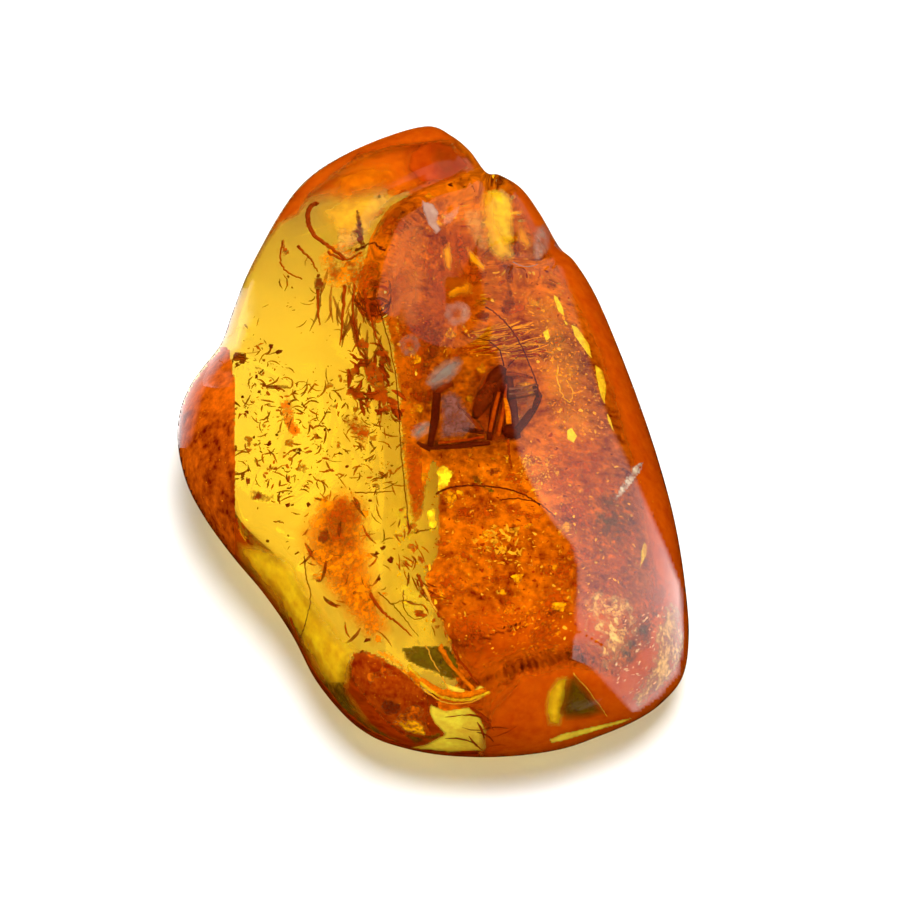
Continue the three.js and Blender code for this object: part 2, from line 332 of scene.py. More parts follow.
def amber_material():
    material = principled(
        "amber", Base_Color=(1, 1, 1, 1), Roughness=0.0, IOR=AMBER_IOR, Transmission_Weight=1.0)
    tree = material.node_tree
    absorption = tree.nodes.new("ShaderNodeVolumeAbsorption")
    absorption.inputs["Color"].default_value = AMBER_TINT
    absorption.inputs["Density"].default_value = AMBER_DENSITY
    tree.links.new(absorption.outputs[0], tree.nodes["Material Output"].inputs["Volume"])
    return material


def noise_value(tree, coordinates, scale, detail):
    noise = tree.nodes.new("ShaderNodeTexNoise")
    noise.inputs["Scale"].default_value = scale
    noise.inputs["Detail"].default_value = detail
    noise.inputs["Roughness"].default_value = NOISE_ROUGHNESS
    tree.links.new(coordinates, noise.inputs["Vector"])
    return noise.outputs[0]


def remapped(tree, value, low, high, new_low, new_high):
    node = tree.nodes.new("ShaderNodeMapRange")
    for socket, number in zip(node.inputs[1:], (low, high, new_low, new_high)):
        socket.default_value = number
    tree.links.new(value, node.inputs[0])
    return node.outputs[0]


def math_node(tree, operation, first, second):
    node = tree.nodes.new("ShaderNodeMath")
    node.operation = operation
    for socket, value in zip(node.inputs, (first, second)):
        if isinstance(value, (int, float)):
            socket.default_value = value
        else:
            tree.links.new(value, socket)
    return node.outputs[0]


def sealed_material(name, coarse, fine, contrast, ragged, roughness=0.6, bump=0.0, warmth=1.0):
    """A sheet's or grain's tint, mottled at two scales, its edges eaten by the same mottling; some tints
    are painted light and shade.
    """
    material = principled(name, Roughness=roughness, Specular_IOR_Level=0.0)
    tree = material.node_tree
    shader = tree.nodes["Principled BSDF"]
    coordinates = tree.nodes.new("ShaderNodeTexCoord").outputs["Object"]
    tint = tree.nodes.new("ShaderNodeVertexColor")
    tint.layer_name = "tint"
    wide = noise_value(tree, coordinates, coarse, COARSE_DETAIL)
    small = noise_value(tree, coordinates, fine, FINE_DETAIL)
    mottle = math_node(tree, "ADD", math_node(tree, "MULTIPLY", wide, COARSE_SHARE),
                       math_node(tree, "MULTIPLY", small, 1 - COARSE_SHARE))
    least = max(1 - contrast * (1 + warmth), LEAST_GREEN)
    most = 1 + contrast * (1 + 2 * warmth)
    red = remapped(tree, mottle, *RED_RANGE, TINT_SHARE * (1 - contrast), TINT_SHARE * (1 + contrast))
    green = remapped(tree, mottle, *GREEN_RANGE, TINT_SHARE * least, TINT_SHARE * most)
    shade = tree.nodes.new("ShaderNodeCombineXYZ")
    for socket, value in zip(shade.inputs, (red, green, green)):
        tree.links.new(value, socket)
    mix = tree.nodes.new("ShaderNodeVectorMath")
    mix.operation = "MULTIPLY"
    tree.links.new(tint.outputs["Color"], mix.inputs[0])
    tree.links.new(shade.outputs[0], mix.inputs[1])
    tree.links.new(mix.outputs[0], shader.inputs["Base Color"])
    eaten = remapped(tree, mottle, *EATEN_RANGE, -ragged, ragged)
    cover = tint.outputs["Alpha"]
    bare = math_node(tree, "SUBTRACT", 1.0, cover)
    eaten = math_node(tree, "MULTIPLY", math_node(tree, "MULTIPLY", eaten, cover), bare)
    alpha = math_node(tree, "ADD", cover, math_node(tree, "MULTIPLY", eaten, EATEN_STRENGTH))
    clamp = tree.nodes.new("ShaderNodeClamp")
    tree.links.new(alpha, clamp.inputs[0])
    tree.links.new(clamp.outputs[0], shader.inputs["Alpha"])
    if bump:
        node = tree.nodes.new("ShaderNodeBump")
        node.inputs["Strength"].default_value = bump
        node.inputs["Distance"].default_value = BUMP_HEIGHT
        tree.links.new(mottle, node.inputs["Height"])
        tree.links.new(node.outputs[0], shader.inputs["Normal"])
    return material


class Joined:
    """Points, faces and tints of many small pieces, gathered into one mesh."""

    def __init__(self):
        self.points = []
        self.faces = []
        self.tints = []
        self.count = 0

    def add(self, points, faces, tints):
        points = np.asarray(points)
        self.points.append(points)
        self.faces.extend(tuple(int(i) + self.count for i in face) for face in faces)
        self.tints.append(np.broadcast_to(np.asarray(tints, float), (len(points), 4)))
        self.count += len(points)

    def build(self, name, material):
        body = mesh_object(name, np.concatenate(self.points), self.faces)
        layer = body.data.color_attributes.new("tint", "FLOAT_COLOR", "POINT")
        layer.data.foreach_set("color", np.concatenate(self.tints).ravel())
        smooth(body)
        body.data.materials.append(material)
        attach(body, "root")
        return body


def ripple(x, y, seed):
    """A smooth uneven value between about -1 and 1, for a sheet's depth."""
    turns = np.random.default_rng(seed).uniform(0, 2 * math.pi, RIPPLE_WAVES)
    total = 0
    for i, turn in enumerate(turns):
        pitch = RIPPLE_PITCH * RIPPLE_GROWTH ** i
        wave = np.sin(pitch * (x * math.cos(turn) + y * math.sin(turn)) + 3 * turn)
        total = total + wave / RIPPLE_FALL ** i
    return total / 3


def pixel_grid(outline, step):
    """Columns and rows of pixels that cover an outline."""
    corners = np.array(outline, float)
    low, high = corners.min(0), corners.max(0)
    return np.arange(low[0], high[0] + step, step), np.arange(low[1], high[1] + step, step)


def grid_faces(numbers):
    """Faces between the points of a grid; a number below 0 marks a missing point."""
    faces = []
    for j in range(numbers.shape[0] - 1):
        for i in range(numbers.shape[1] - 1):
            corner = numbers[j, i], numbers[j, i + 1], numbers[j + 1, i + 1], numbers[j + 1, i]
            if min(corner) >= 0:
                faces.append(tuple(int(n) for n in corner))
    return faces


def add_veil(sheets, outline, tint, depth, cover=1.0, feather=4, share=0.9, uneven=0.3, step=3.0,
             seed=1, hollow=None):
    """A thin sheet inside the stone that shows as this outline of photograph pixels."""
    columns, rows = pixel_grid(outline, step)
    grid_x, grid_y = np.meshgrid(columns, rows)
    inside = inside_polygon(grid_x, grid_y, outline)
    edge = distance_to_path(grid_x, grid_y, [*outline, outline[0]])
    numbers = np.full(grid_x.shape, -1)
    points, tints = [], []
    for j, i in zip(*np.nonzero(inside)):
        pixel = grid_x[j, i], grid_y[j, i]
        spot, ray = refracted(pixel)
        if spot is None:
            continue
        far = distance_to_far_side(spot, ray)
        if far is None:
            continue
        wave = ripple(*pixel, seed) * uneven * MM
        reach_in = min(max(depth * MM + wave, LEAST_DEPTH), far * share)
        soft = min(edge[j, i] / feather, 1)
        if hollow is not None:
            soft *= min((math.dist(pixel, hollow[:2]) / hollow[2]) ** 2, 1)
        numbers[j, i] = len(points)
        points.append(spot + ray * reach_in)
        tints.append((*tint, cover * soft))
    faces = grid_faces(numbers)
    if faces:
        sheets.add(points, faces, tints)


def add_veils(sheets, table, **rest):
    """Every sheet of a table."""
    for number, (tint, cover, feather, depth, outline) in enumerate(table):
        add_veil(sheets, outline, tint, depth, cover=cover, feather=feather, seed=number, **rest)


def grain_shape(rng, stretch):
    """A lumpy grain of unit size, longer along x."""
    count = 6
    turns = np.arange(count) * math.pi / 3
    waist = [(math.cos(a), math.sin(a), 0.3 * math.cos(3 * a)) for a in turns]
    points = np.array([(0, 0, 1), *waist, (0, 0, -1)], float)
    points *= rng.uniform(*GRAIN_LUMPS, (count + 2, 1))
    points *= (1, 1 / stretch, 1 / stretch)
    faces = [(0, 1 + i, 1 + (i + 1) % count) for i in range(count)]
    faces += [(count + 1, 1 + (i + 1) % count, 1 + i) for i in range(count)]
    return points, faces


def flake_shape(rng, stretch):
    """A thin bent flake of unit size, longer along x."""
    count = 7
    angles = np.arange(count) * 2 * math.pi / count + rng.uniform(-0.3, 0.3, count)
    radii = rng.uniform(*FLAKE_LUMPS, count)
    lift = rng.uniform(-0.15, 0.15, count)
    rim = np.stack([radii * np.cos(angles), radii * np.sin(angles) / stretch, lift], -1)
    points = np.concatenate([[(0, 0, 0.12)], rim])
    faces = [(0, 1 + i, 1 + (i + 1) % count) for i in range(count)]
    return points, faces


def turned(points, rng, lean, spread):
    """Turns a piece about the line of sight by lean and spread, then tips it at random."""
    spin = math.radians(lean + rng.uniform(-spread, spread))
    tip_x, tip_y = rng.uniform(-MOST_TIP, MOST_TIP, 2)
    turn = [[math.cos(spin), -math.sin(spin), 0], [math.sin(spin), math.cos(spin), 0], [0, 0, 1]]
    tip = [[math.cos(tip_y), 0, math.sin(tip_y)], [0, 1, 0], [-math.sin(tip_y), 0, math.cos(tip_y)]]
    tilt = [[1, 0, 0], [0, math.cos(tip_x), -math.sin(tip_x)], [0, math.sin(tip_x), math.cos(tip_x)]]
    return points @ (np.array(turn) @ np.array(tip) @ np.array(tilt)).T


def strewn(rng, outline, count):
    """Random pixels inside an outline."""
    corners = np.array(outline, float)
    low, high = corners.min(0), corners.max(0)
    made = 0
    while made < count:
        pixel = rng.uniform(low, high)
        if inside_polygon(pixel[0], pixel[1], outline):
            made += 1
            yield pixel


def add_scatter(pieces, outline, count, size, depth, tint, shape=grain_shape, stretch=(1, 2), lean=0,
                spread=180, cover=1.0, seed=1, bare=None):
    """Small pieces strewn over an outline of photograph pixels, none in the bare outline.

    Size is in pixels and depth in millimetres.
    """
    rng = np.random.default_rng(seed)
    for pixel in strewn(rng, outline, count):
        if bare and inside_polygon(pixel[0], pixel[1], bare):
            continue
        spot, ray = refracted(pixel)
        if spot is None:
            continue
        far = distance_to_far_side(spot, ray) or 0
        reach_in = min(rng.uniform(*depth) * MM, far * DEEPEST_SHARE)
        big = size[0] * (size[1] / size[0]) ** (rng.uniform() ** SMALL_BIAS) * PIXEL / 2
        if reach_in < big:
            continue
        points, faces = shape(rng, rng.uniform(*stretch))
        points = turned(points * big, rng, lean, spread) + np.array(spot + ray * reach_in)
        shade = rng.uniform(*GRAIN_SHADES)
        pieces.add(points, faces, (*[c * shade for c in tint], cover))


def add_flakes(pieces, *row, **rest):
    """Flakes strewn as add_scatter does."""
    add_scatter(pieces, *row, shape=flake_shape, **rest)


def add_strand(pieces, path, width, depth, tint, cover=1.0, sides=5, wobble=0.0, seed=1, swell=0.0,
               flatness=1.0):
    """A tapered thread through photograph pixels: widths in pixels at its ends, depth in millimetres."""
    rng = np.random.default_rng(seed)
    spots = []
    for start, end in zip(path, path[1:]):
        steps = max(2, int(math.dist(start, end) / STRAND_STEP))
        for k in range(steps):
            spots.append(np.array(start) + (np.array(end) - start) * k / steps)
    spots.append(np.array(path[-1], float))
    depths = depth if isinstance(depth, tuple) else (depth, depth)
    rings = []
    for k, pixel in enumerate(spots):
        along = k / (len(spots) - 1)
        pixel = pixel + rng.normal(0, 1, 2) * wobble
        centre = seen_at(pixel, (depths[0] + (depths[1] - depths[0]) * along) * MM)
        wide = width[0] + (width[1] - width[0]) * along + swell * math.sin(math.pi * along)
        rings.append((np.array(centre), wide * PIXEL / 2))
    points, faces = [], []
    for k, (centre, radius) in enumerate(rings):
        ahead = rings[min(k + 1, len(rings) - 1)][0] - rings[max(k - 1, 0)][0]
        ahead = ahead / np.linalg.norm(ahead)
        side = np.cross(ahead, (0, 0, 1))
        side = side / np.linalg.norm(side)
        rise = np.cross(side, ahead)
        for i in range(sides):
            turn = 2 * math.pi * i / sides
            points.append(centre + radius * (math.cos(turn) * side + flatness * math.sin(turn) * rise))
        if k:
            for i in range(sides):
                a, b = (k - 1) * sides + i, (k - 1) * sides + (i + 1) % sides
                faces.append((a, b, b + sides, a + sides))
    faces.append(tuple(reversed(range(sides))))
    faces.append(tuple(range(len(points) - sides, len(points))))
    pieces.add(points, faces, (*tint, cover))


def rounded(path):
    """The path with its corners cut, twice."""
    for _ in range(2):
        between = []
        for a, b in zip(path, path[1:]):
            between += [np.array(a) + (np.array(b) - a) * part for part in (0.25, 0.75)]
        path = [path[0], *between, path[-1]]
    return path


def add_wisps(pieces, outline, count, length, width, depth, tint, lean=0, spread=180, bend=60,
              cover=1.0, seed=1):
    """Short bent threads strewn over an outline of photograph pixels.

    Angles are in degrees, 0 to the right and 90 up.
    """
    rng = np.random.default_rng(seed)
    for start in strewn(rng, outline, count):
        angle = math.radians(lean + rng.uniform(-spread, spread))
        turn = math.radians(rng.uniform(-bend, bend)) / WISP_BENDS
        pace = rng.uniform(*length) / WISP_BENDS
        path = [start]
        for _ in range(WISP_BENDS):
            path.append(path[-1] + pace * np.array((math.cos(angle), -math.sin(angle))))
            angle += turn
        if any(refracted(pixel)[0] is None for pixel in path):
            continue
        shade = rng.uniform(*WISP_SHADES)
        wide = rng.uniform(*width)
        tip = wide * WISP_TIP
        add_strand(pieces, path, (tip, tip), rng.uniform(*depth), [c * shade for c in tint],
                   cover=cover, sides=4, swell=wide * WISP_SWELL, flatness=0.5)


def add_clumps(sheets, outline, count, size, depth, tint, cover=0.9, seed=1):
    """Small ragged sheets strewn over an outline of photograph pixels."""
    rng = np.random.default_rng(seed)
    for number, (x, y) in enumerate(strewn(rng, outline, count), 1):
        radii = rng.uniform(*size) / 2 * rng.uniform(*CLUMP_LUMPS, CLUMP_CORNERS)
        turns = np.arange(CLUMP_CORNERS) * 2 * math.pi / CLUMP_CORNERS
        stretch = rng.uniform(0.5, 1)
        rim = [(x + r * math.cos(t), y + r * math.sin(t) * stretch) for r, t in zip(radii, turns)]
        add_veil(sheets, rim, tint, rng.uniform(*depth), cover=cover, feather=1.5, step=1, uneven=0.1,
                 seed=number)


# Tints of what is sealed in the stone; some also serve as painted light, glints, reflections and shade
DEEP_ORANGE = (0.71, 0.112, 0.002)
BURNT_ORANGE = (0.40, 0.043, 0.001)
BRIGHT_ORANGE = (0.87, 0.185, 0.001)
AMBER_GLOW = (0.95, 0.33, 0.004)
CUTICLE = (0.27, 0.030, 0.003)
RED_BROWN = (0.18, 0.018, 0.002)
DARK_BROWN = (0.105, 0.010, 0.002)
HAIR_BROWN = (0.34, 0.075, 0.001)
SMUDGE = (0.075, 0.026, 0.010)
GOLD = (1.0, 0.48, 0.03)
YELLOW = (1.0, 0.60, 0.02)
# pale yellow, also used for painted light along the front edge
LEMON = (1.0, 0.73, 0.05)
OCHRE = (0.94, 0.54, 0.010)
# dark green, mostly for painted shade along the front edge
OLIVE = (0.12, 0.055, 0.001)
GREY_BROWN = (0.22, 0.060, 0.040)
PURPLE_GREY = (0.20, 0.07, 0.10)
# grey and pale tints for painted glints and reflections in the face
GREY_GLINT = (0.25, 0.23, 0.19)
PALE_GLINT = (0.55, 0.34, 0.26)
BEIGE = (0.72, 0.30, 0.08)
PALE_BEIGE = (0.95, 0.55, 0.26)
# deeper orange for painted shade along the rim
RIM_SHADE_ORANGE = (0.62, 0.082, 0.001)
# pinkish brown for a painted reflection on a facet of the crest
FACET_REFLECTION_BROWN = (0.52, 0.11, 0.02)
LOBE_ORANGE = (0.54, 0.056, 0.001)

# Where the orange rind shows through the stone
MAIN_RIND = [
    (436, 118), (458, 126), (478, 140), (490, 166), (506, 166), (528, 180), (546, 208), (562, 238),
    (568, 246), (582, 258), (602, 290), (624, 338), (648, 400), (668, 458), (684, 520), (694, 580),
    (698, 640), (690, 682), (668, 710), (640, 726), (602, 744), (558, 758), (500, 764), (478, 762),
    (474, 732), (490, 716), (486, 700), (460, 690), (447, 668), (450, 650), (440, 622), (427, 600),
    (423, 577), (434, 556), (437, 540), (436, 506), (438, 470), (433, 462), (428, 480), (426, 500),
    (424, 515), (413, 533), (407, 500), (401, 450), (399, 400), (392, 352), (383, 320), (376, 300),
    (377, 262), (389, 236), (398, 214), (410, 196), (395, 186), (360, 170), (330, 176), (352, 158),
    (390, 141),
]
RIND_CORE = [
    (440, 205), (500, 200), (528, 225), (560, 280), (585, 330), (605, 400), (622, 460), (635, 520),
    (640, 580), (630, 640), (560, 650), (500, 662), (465, 668), (450, 650), (440, 622), (427, 600),
    (423, 577), (434, 556), (420, 500), (405, 450), (400, 400), (393, 352), (385, 320), (382, 300),
    (382, 262), (405, 225),
]
LEFT_RIND = [
    (172, 410), (182, 382), (198, 362), (222, 342), (231, 350), (236, 380), (237, 470), (237, 560),
    (230, 562), (200, 526), (180, 488), (170, 445),
]

# Where grains, threads and clumps are strewn
YELLOW_BAND = [
    (300, 250), (345, 270), (375, 300), (388, 350), (397, 400), (399, 450), (405, 530), (420, 580),
    (400, 600), (330, 570), (240, 540), (240, 340), (262, 300),
]
DENSE_SPECKS = [
    (242, 345), (262, 340), (300, 385), (340, 370), (385, 370), (395, 430), (396, 490), (350, 505),
    (300, 500), (245, 490),
]
WISPS_TOP = [
    (318, 270), (345, 262), (376, 280), (380, 300), (386, 345), (370, 350), (345, 340), (322, 300),
]
CLUSTER_RIGHT = [(350, 345), (380, 335), (392, 370), (396, 410), (384, 416), (360, 405), (345, 380)]
CLOUD = [(300, 505), (340, 480), (366, 500), (378, 560), (392, 620), (380, 645), (345, 625), (310, 585)]
EDGE_GAP = [(402, 500), (420, 540), (430, 560), (450, 640), (428, 640), (400, 600), (392, 540)]
SUNLIT_GRAINS = [(519, 456), (548, 454), (556, 470), (545, 487), (520, 484)]
SWIRL = [(470, 530), (495, 524), (521, 530), (521, 556), (500, 560), (478, 548)]
LOW_SWIRL = [(484, 559), (522, 557), (522, 566), (486, 567)]
GOLD_WRINKLES = [(500, 610), (540, 600), (562, 625), (556, 655), (520, 650)]
FAN = [(470, 332), (500, 325), (523, 334), (525, 358), (480, 362), (462, 350)]
RIGHT_GRAINS = [(520, 300), (560, 290), (600, 380), (610, 440), (560, 440), (540, 380)]
LOW_RIGHT = [(625, 620), (668, 598), (682, 630), (676, 672), (640, 706), (612, 680)]
RIGHT_EDGE = [
    (634, 480), (650, 480), (670, 540), (682, 600), (682, 660), (660, 698), (634, 712), (622, 700),
    (645, 640), (652, 580), (645, 520),
]
RIND_MIDDLE = [
    (440, 215), (500, 270), (540, 300), (580, 380), (590, 450), (600, 540), (590, 620), (500, 640),
    (460, 640), (440, 600), (440, 520), (415, 480), (405, 400), (400, 330), (400, 250),
]
INSECT_AREA = [(415, 380), (445, 365), (500, 352), (545, 375), (545, 430), (515, 452), (420, 455)]
YELLOW_PATCH = [(430, 703), (470, 706), (486, 728), (496, 751), (450, 753), (404, 748), (440, 738)]
BUMP = [(347, 664), (352, 652), (380, 655), (427, 690), (434, 738), (400, 736), (366, 702)]

# Smooth glowing sheets: tint, how much they cover, soft edge in pixels, depth in millimetres,
# outline in pixels
GLOWS = [
    # the lower left side, where the stone is seen through its steep edge
    (OCHRE, 1.0, 16, 1.0, [
        (236, 540), (262, 545), (296, 560), (310, 590), (340, 630), (362, 648), (352, 670), (350, 690),
        (372, 722), (404, 745), (393, 743), (367, 731), (343, 711), (317, 678), (294, 635), (266, 594),
        (236, 557)]),
    # the rim, where the stone is seen edge on, painted deeper orange as shade of the edge
    (RIM_SHADE_ORANGE, 1.0, 12, 0.6, [
        (500, 160), (528, 176), (550, 202), (568, 232), (574, 240), (588, 256), (610, 288), (630, 336),
        (652, 398), (672, 458), (688, 520), (700, 582), (704, 640), (698, 684), (672, 714), (642, 732),
        (602, 750), (558, 764), (500, 772), (476, 770), (478, 735), (490, 705), (520, 670), (572, 660),
        (612, 668), (640, 640), (646, 580), (640, 530), (628, 470), (612, 410), (592, 350), (568, 300),
        (545, 262), (525, 232), (512, 205)]),
    (DEEP_ORANGE, 0.75, 12, 1.3, [
        (482, 700), (500, 680), (545, 672), (552, 700), (545, 730), (520, 748), (488, 748), (480, 728)
    ]),
    (DEEP_ORANGE, 0.85, 26, 5.0, [
        (430, 612), (470, 600), (520, 596), (560, 600), (600, 590), (636, 600), (640, 640), (610, 666),
        (560, 662), (515, 668), (480, 688), (455, 680), (448, 655)]),
    # top lobe
    (DEEP_ORANGE, 1.0, 16, 1.6, [
        (276, 222), (298, 190), (318, 170), (350, 155), (392, 138), (430, 128), (456, 141), (480, 168),
        (440, 186), (400, 200), (370, 196), (345, 200), (322, 205), (298, 212)]),
    (BRIGHT_ORANGE, 0.9, 18, 1.3, [
        (322, 200), (334, 172), (360, 160), (392, 162), (404, 178), (380, 196), (348, 206)]),
    # painted shade along the top lobe's rim
    (RIM_SHADE_ORANGE, 0.8, 10, 1.1, [
        (283, 214), (300, 189), (330, 163), (372, 146), (420, 130), (452, 140), (446, 156), (400, 152),
        (350, 163), (322, 182), (302, 200)]),
    (BURNT_ORANGE, 0.6, 12, 0.8, [
        (430, 140), (455, 142), (478, 166), (462, 180), (438, 182), (428, 160)]),
    (LOBE_ORANGE, 0.95, 10, 0.9, [
        (405, 150), (430, 131), (455, 142), (478, 166), (452, 184), (420, 190), (402, 172)]),
    (GOLD, 0.7, 16, 1.8, [
        (312, 208), (344, 186), (400, 184), (404, 200), (388, 216), (376, 240), (352, 246), (330, 236),
        (318, 220)]),
    # painted shade along the top lobe's outer rim
    (RIM_SHADE_ORANGE, 1.0, 7, 0.45, [
        (244, 280), (252, 246), (272, 206), (298, 172), (334, 148), (380, 128), (420, 116), (452, 124),
        (470, 146), (440, 144), (400, 148), (360, 158), (334, 178), (312, 196), (300, 216), (282, 226),
        (266, 248), (254, 272)]),
    # bright strip beside the rind
    (LEMON, 0.4, 18, 4.5, [
        (404, 420), (422, 500), (430, 545), (420, 575), (434, 620), (446, 655), (414, 645), (384, 600),
        (378, 540), (392, 470)]),
    # orange cloud in the yellow band
    (BRIGHT_ORANGE, 0.75, 18, 3.2, [
        (292, 530), (312, 495), (346, 482), (370, 500), (376, 545), (384, 590), (396, 632), (372, 650),
        (345, 624), (318, 588), (298, 565)]),
    # yellow and green bands over the front edge: the bright yellow is painted light coming through the
    # edge, the dark green is painted shade
    (LEMON, 1.0, 3, 0.6, [
        (430, 703), (446, 710), (470, 706), (480, 716), (486, 728), (498, 742), (496, 751), (450, 753),
        (404, 748), (424, 744), (444, 734), (434, 724), (428, 712)]),
    (LEMON, 0.9, 3, 0.8, [
        (432, 678), (452, 684), (470, 690), (480, 684), (488, 688), (476, 698), (456, 696)]),
    (OCHRE, 0.9, 10, 0.55, [
        (546, 690), (556, 676), (570, 674), (568, 700), (562, 728), (546, 727), (543, 706)]),
    (OLIVE, 0.85, 9, 0.3, [
        (566, 677), (576, 674), (590, 690), (609, 714), (590, 720), (566, 722), (556, 712), (560, 694)
    ]),
    (LEMON, 1.0, 2, 0.4, [
        (548, 739), (562, 733), (592, 726), (625, 718), (640, 716), (622, 724), (592, 733), (566, 741),
        (551, 744)]),
    # two facets of the crest and the trough beside it: a painted pinkish reflection on the left facet, a
    # darker orange over the trough
    (FACET_REFLECTION_BROWN, 0.6, 10, 1.6, [
        (386, 262), (392, 238), (402, 216), (420, 221), (428, 234), (426, 270), (420, 325), (404, 330),
        (390, 312)]),
    (BURNT_ORANGE, 0.65, 14, 1.6, [
        (428, 215), (445, 222), (465, 212), (480, 240), (487, 290), (480, 320), (440, 332), (422, 322),
        (428, 270)]),
    # yellow windows around the top
    (DEEP_ORANGE, 0.8, 8, 0.8, [
        (500, 180), (520, 192), (538, 216), (552, 244), (540, 246), (522, 230), (516, 206)]),
    (GOLD, 0.95, 13, 1.2, [
        (480, 190), (495, 187), (508, 195), (514, 210), (513, 235), (517, 260), (500, 264), (488, 252),
        (482, 235), (478, 212)]),
    (YELLOW, 0.9, 10, 1.1, [(486, 190), (504, 187), (514, 200), (516, 242), (504, 248), (490, 225)]),
    (BEIGE, 0.45, 6, 1.0, [(462, 210), (480, 206), (487, 225), (489, 255), (478, 250), (465, 230)]),
    (AMBER_GLOW, 0.9, 5, 1.3, [(441, 248), (450, 240), (454, 256), (452, 272), (444, 268)]),
    (AMBER_GLOW, 0.8, 4, 1.1, [(464, 244), (472, 250), (487, 266), (485, 274), (470, 262)]),
    (AMBER_GLOW, 0.9, 9, 1.6, [(436, 280), (448, 271), (466, 274), (476, 286), (470, 298), (446, 300)]),
    (AMBER_GLOW, 0.7, 8, 1.4, [(516, 214), (528, 226), (536, 244), (526, 252), (514, 240)]),
    (AMBER_GLOW, 0.35, 20, 4.5, [
        (520, 290), (560, 290), (590, 350), (604, 410), (600, 440), (550, 440), (535, 370)]),
    # painted glints and reflections in hollows of the face
    (PALE_GLINT, 0.85, 3, 0.2, [
        (420, 199), (434, 203), (440, 212), (438, 222), (443, 230), (437, 236), (428, 226), (422, 211)
    ]),
    (PALE_GLINT, 0.35, 4, 0.2, [(442, 214), (462, 203), (460, 212), (451, 225), (442, 226)]),
    (PALE_GLINT, 0.45, 6, 0.2, [
        (534, 226), (545, 222), (553, 235), (551, 249), (542, 261), (533, 262), (531, 245)]),
    (PALE_GLINT, 0.95, 3, 0.2, [(554, 238), (560, 247), (566, 252), (560, 252), (554, 247)]),
    (GREY_GLINT, 0.85, 10, 0.35, [
        (422, 384), (430, 370), (444, 358), (458, 354), (466, 360), (462, 372), (450, 384), (434, 392)
    ]),
    (GREY_GLINT, 0.75, 9, 0.35, [(408, 436), (414, 424), (426, 418), (433, 424), (430, 434), (418, 442)]),
]

# Painted ring glints of dimples, as sheets with a hollow middle: tint, cover, soft edge, depth, outline,
# hollow's middle and radius
RINGS = [
    (PALE_GLINT, 0.6, 9, 0.35, [
        (442, 316), (446, 303), (458, 299), (470, 304), (473, 315), (466, 326), (452, 328)
    ], (456, 314, 9)),
    (GREY_GLINT, 0.75, 9, 0.35, [
        (397, 346), (400, 336), (409, 332), (419, 336), (422, 346), (416, 356), (404, 357)
    ], (409, 345, 9)),
]

